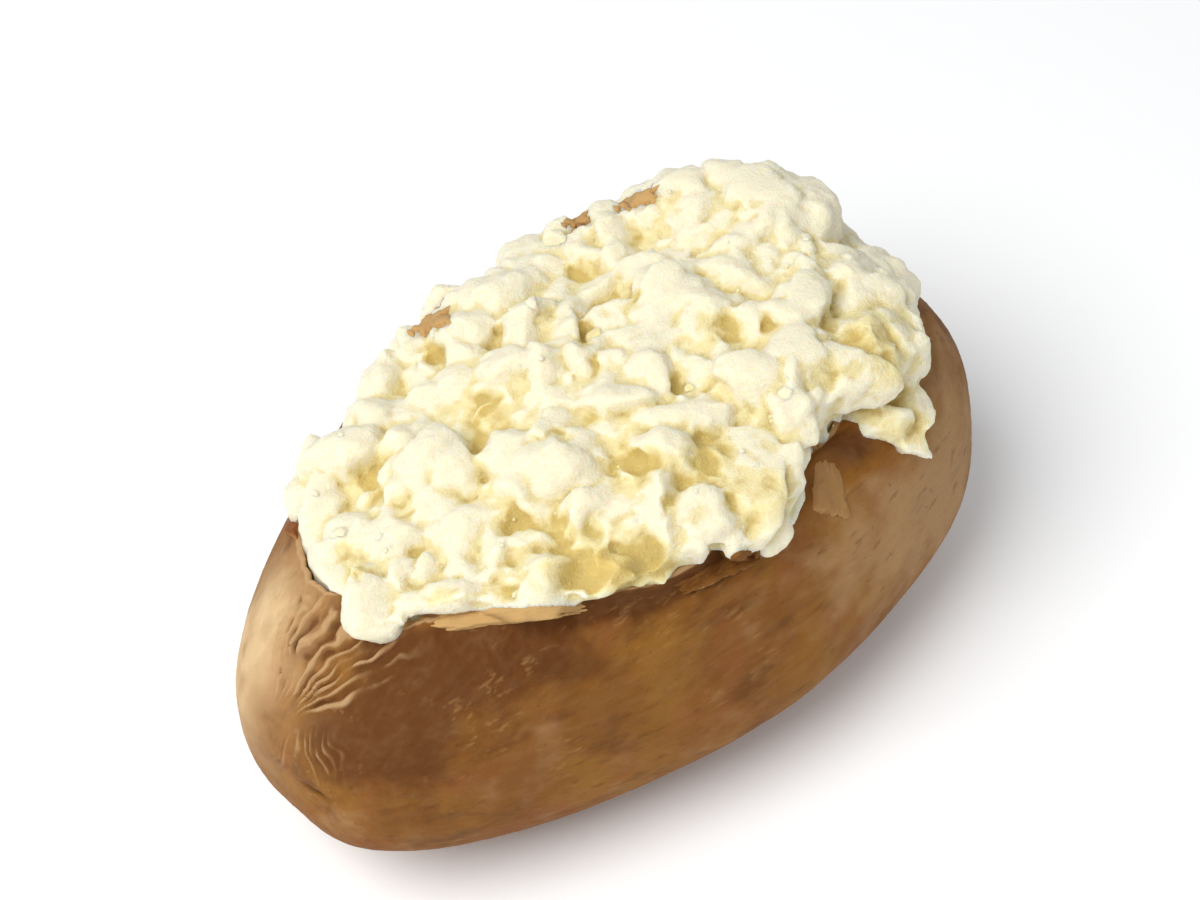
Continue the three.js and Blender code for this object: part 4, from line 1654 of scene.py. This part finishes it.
@dataclass
class TornSkin:
    """The thin flaps and shreds of skin round the split."""

    grain: Grain
    view: View
    across: int = 40
    down: int = 22
    sunk: float = -0.6 * MM
    torn: float = 0.16
    torn_scale: Pair = (6.0, 4.0)
    torn_shift: float = 31.0
    rag: Rough = Rough(0.08, 1.0, 3, 0.6)
    rag_scale: Pair = (7.0, 5.0)
    rag_shift: float = 9.0
    rag_across: float = 3.0
    afloat: float = 0.25 * MM
    ripple: Rough = Rough(0.25 * MM, 2.2 * MM)
    rooted: Pair = (0.1, 0.5)
    side_in: Pair = (0.05, 0.2)
    side_out: Pair = (0.95, 0.8)
    end: Pair = (1.05, 0.95)
    end_torn: float = 0.2
    lifted: Pair = (0.45, 1.0)
    bare_edge: Pair = (0.92, 1.0)
    bare_share: float = 0.8
    # In turn: under the middle of the near lip, by the notch at the right, at the left end, along the near
    # lip, and three bits on the far side of the heap.
    flaps: tuple[Flap, ...] = rows(Flap, (
        (((8.2, -20.8), (22.6, -12.8), (25.5, -15.0), (11.3, -22.3)), 1.2, 0.28, 0.0, 0.6, 0.0),
        (((31.8, 1.9), (34.7, 1.3), (38.3, -10.8), (30.2, -8.5)), 0.5, 0.3, 0.14, -0.5, 0.0),
        (((-46.3, -9.5), (-44.5, -10.1), (-44.8, -13.4), (-46.5, -12.5)), 0.6, 0.3, 0.0, 0.3, 0.9),
        (((-29.1, -23.2), (0.6, -22.0), (0.6, -24.0), (-30.0, -27.9)), 0.5, 0.3, 0.85, 0.0, 0.25),
        (((-30.0, 19.0), (-21.5, 23.7), (-21.4, 19.0), (-27.6, 15.9)), 0.3, 0.3, 0.85, 0.0, 0.25),
        (((-7.1, 34.7), (-1.5, 37.1), (-0.9, 33.8), (-4.7, 32.4)), 0.3, 0.3, 0.7, 0.0, 0.3),
        (((0.9, 37.1), (10.1, 41.6), (8.9, 36.8), (2.7, 34.7)), 0.3, 0.3, 0.9, 0.0, 0.4),
    ))

    def flap(self, data: Flap, skin: Surface) -> Object:
        """Return one flap, laid on the skin and curling up at its free edge."""
        sizes = {"x_subdivisions": self.across, "y_subdivisions": self.down, "size": 2}
        sheet = added(bpy.ops.mesh.primitive_grid_add, **sizes)
        x, y, _ = points_of(sheet).T
        u, v = (x + 1) / 2, (1 - y) / 2
        wide, long = self.rag_scale
        places = np.stack([u * wide, v * long, 0 * u + data.lift * self.rag_shift], axis=1)
        rag = self.rag.at(self.grain, places)
        v = v * (1 + rag * self.rag_across)
        u = 0.5 + (u - 0.5) * (1 + rag)
        a, b, c, d = np.array(data.corners) * MM
        flat = np.outer((1 - u) * (1 - v), a) + np.outer(u * (1 - v), b)
        flat = flat + np.outer(u * v, c) + np.outer((1 - u) * v, d)
        spots = [self.view.spot(skin, *corner) for corner in flat]
        spot, normal = (np.array(part) for part in zip(*spots))
        free = self.free(data, u, v)
        ripple = self.ripple.at(self.grain, spot)
        height = self.sunk + (self.afloat - self.sunk + ripple) * free
        height = height + data.lift * MM * free * ease(v, *self.lifted)
        place_points(sheet, spot + normal * height[:, None])
        edge = self.bare_share * free * ease(v, *self.bare_edge)
        note(sheet, "bare", np.maximum(data.bareness, edge))
        levels = {"crest": 0.0, "pale": 0.0, "shade": data.shade, "flush": data.flush, "pit": 0.0}
        for name, level in levels.items():
            note(sheet, name, level + 0 * u)
        apply_modifier(sheet, "SOLIDIFY", thickness=data.thickness * MM, offset=0.0)
        apply_modifier(sheet, "SUBSURF", levels=1, render_levels=1)
        edit_all(sheet, bpy.ops.mesh.normals_make_consistent, inside=False)
        bpy.ops.object.shade_smooth()
        return sheet

    def free(self, data: Flap, u: Array, v: Array) -> Array:
        """Return 1 where a flap is free of the skin, down to 0 where it goes into it.

        Args:
            data: The flap.
            u: How far along the flap each point is, from 0 to 1.
            v: How far from the edge that it hangs from each point is, from 0 to 1.
        """
        wide, long = self.torn_scale
        places = np.stack([u * wide + data.lift * self.torn_shift, v * long, 0 * u], axis=1)
        torn = self.torn * (1 + data.bareness) * self.grain.rough(places, 3, 0.6)
        free = ease(v + torn, *self.rooted) * ease(u + torn, *self.side_in) * ease(u + torn, *self.side_out)
        start, end = self.end
        return free * ease(v + torn * data.bareness, start, end - self.end_torn * data.bareness)

    def build(self, skin: Surface) -> Object:
        """Return all the flaps as one piece."""
        return joined("torn_skin", [self.flap(data, skin) for data in self.flaps])


# ---- Studio ----


@dataclass(frozen=True)
class Studio:
    """A white floor, soft light from behind on the left, and the camera."""

    view: View
    lens: float = 85.0
    floor_half: float = 4.0
    key_way: Triple = (-0.58, 0.0, 0.82)
    key_distance: float = 1.1
    key_size: float = 0.7
    key_power: float = 10.6
    front_way: Triple = (-0.50, -0.55, 0.67)
    front_distance: float = 1.2
    front_size: float = 1.0
    front_power: float = 1.5
    lamp_aim: Triple = (0.0, 0.0, 0.03)
    world: float = 0.48
    world_tint: Four = colour(0.965, 0.985, 1.0)
    floor_tint: Four = colour(0.97, 0.97, 0.97)
    floor_roughness: float = 0.9
    floor_specular: float = 0.1
    sensor: float = 36.0
    nearest: float = 0.01

    def looking(self, obj: Object, at: Vector, aim: Vector) -> None:
        """Place an object and turn its -Z towards a point."""
        obj.location = at
        obj.rotation_euler = (aim - at).to_track_quat("-Z", "Y").to_euler()

    def lamp(self, name: str, way: Sequence[float], distance: float, size: float, power: float) -> None:
        """Make a round soft light.

        Args:
            name: Its name.
            way: The direction from the potato to it.
            distance: How far away it is.
            size: How wide it is.
            power: Its power in watts.
        """
        light = bpy.data.lights.new(name, "AREA")
        light.shape = "DISK"
        light.size = size
        light.energy = power
        lamp = bpy.data.objects.new(name, light)
        bpy.context.scene.collection.objects.link(lamp)
        middle = Vector(self.lamp_aim)
        self.looking(lamp, middle + Vector(way).normalized() * distance, middle)

    def build(self) -> None:
        """Make the floor, the lights, the world and the camera."""
        floor = added(bpy.ops.mesh.primitive_plane_add, size=2 * self.floor_half, location=(0, 0, 0))
        floor.name = "studio_floor"
        paint = Recipe("studio_floor_paint")
        paint.constants(Base_Color=self.floor_tint, Roughness=self.floor_roughness)
        paint.constants(Specular_IOR_Level=self.floor_specular)
        paint.dress(floor)

        self.lamp("key_light", self.key_way, self.key_distance, self.key_size, self.key_power)
        self.lamp("front_light", self.front_way, self.front_distance, self.front_size, self.front_power)
        world = bpy.data.worlds.new("studio_world")
        world.use_nodes = True
        background = world.node_tree.nodes["Background"]
        background.inputs["Color"].default_value = self.world_tint
        background.inputs["Strength"].default_value = self.world
        bpy.context.scene.world = world

        lens = bpy.data.cameras.new("studio_camera")
        lens.lens = self.lens
        lens.sensor_width = self.sensor
        lens.clip_start = self.nearest
        camera = bpy.data.objects.new("studio_camera", lens)
        bpy.context.scene.collection.objects.link(camera)
        self.looking(camera, Vector(self.view.at), Vector(self.view.aim))
        bpy.context.scene.camera = camera
        bpy.context.scene.view_settings.view_transform = "Standard"


def report(piece: Object) -> None:
    """Log a finished piece with its number of triangles."""
    LOG.info("%s: %d triangles", piece.name, triangles_of(piece))


def main() -> None:
    """Build the potato and its studio round the frame."""
    logging.basicConfig(level=logging.INFO, format="%(message)s", stream=sys.stdout)
    form = JacketForm()
    form.settle(*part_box(Node.JACKET.value))
    grain = Grain(GRAIN_SEED)
    view = View()
    solid = merged_copy(Node.JACKET, "jacket_guide")
    low, high = (np.array(corner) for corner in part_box(Node.JACKET.value))
    skin = JacketSkin(form, grain, view, Surface(solid), (low, high)).build()
    _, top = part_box(Node.HEAP.value)
    turns = np.radians(np.arange(0.0, 360.0, LIP_STEP))
    lip = form.point(turns, np.radians(form.tear(turns)))
    heap, chunks, crumbs = FleshHeap(grain, view, top[2] - HEADROOM, lip).build(solid)
    flaps = TornSkin(grain, view).build(Surface(skin, heap))
    discard(solid)

    skin_finish = SkinFinish().material()
    flesh_finish = FleshFinish("potato_flesh_finish", 2.1 * MM).material()
    crumb_finish = FleshFinish("potato_crumb_finish", 0.4 * MM).material()
    for piece in (skin, flaps):
        skin_finish.dress(piece)
        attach(piece, BODY)
        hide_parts(Node.JACKET.value)
        report(piece)
    for piece, finish in ((heap, flesh_finish), (chunks, crumb_finish), (crumbs, crumb_finish)):
        finish.dress(piece)
        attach(piece, BODY)
        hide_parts(Node.HEAP.value)
        report(piece)

    Studio(view).build()


if __name__ == "__main__":
    main()
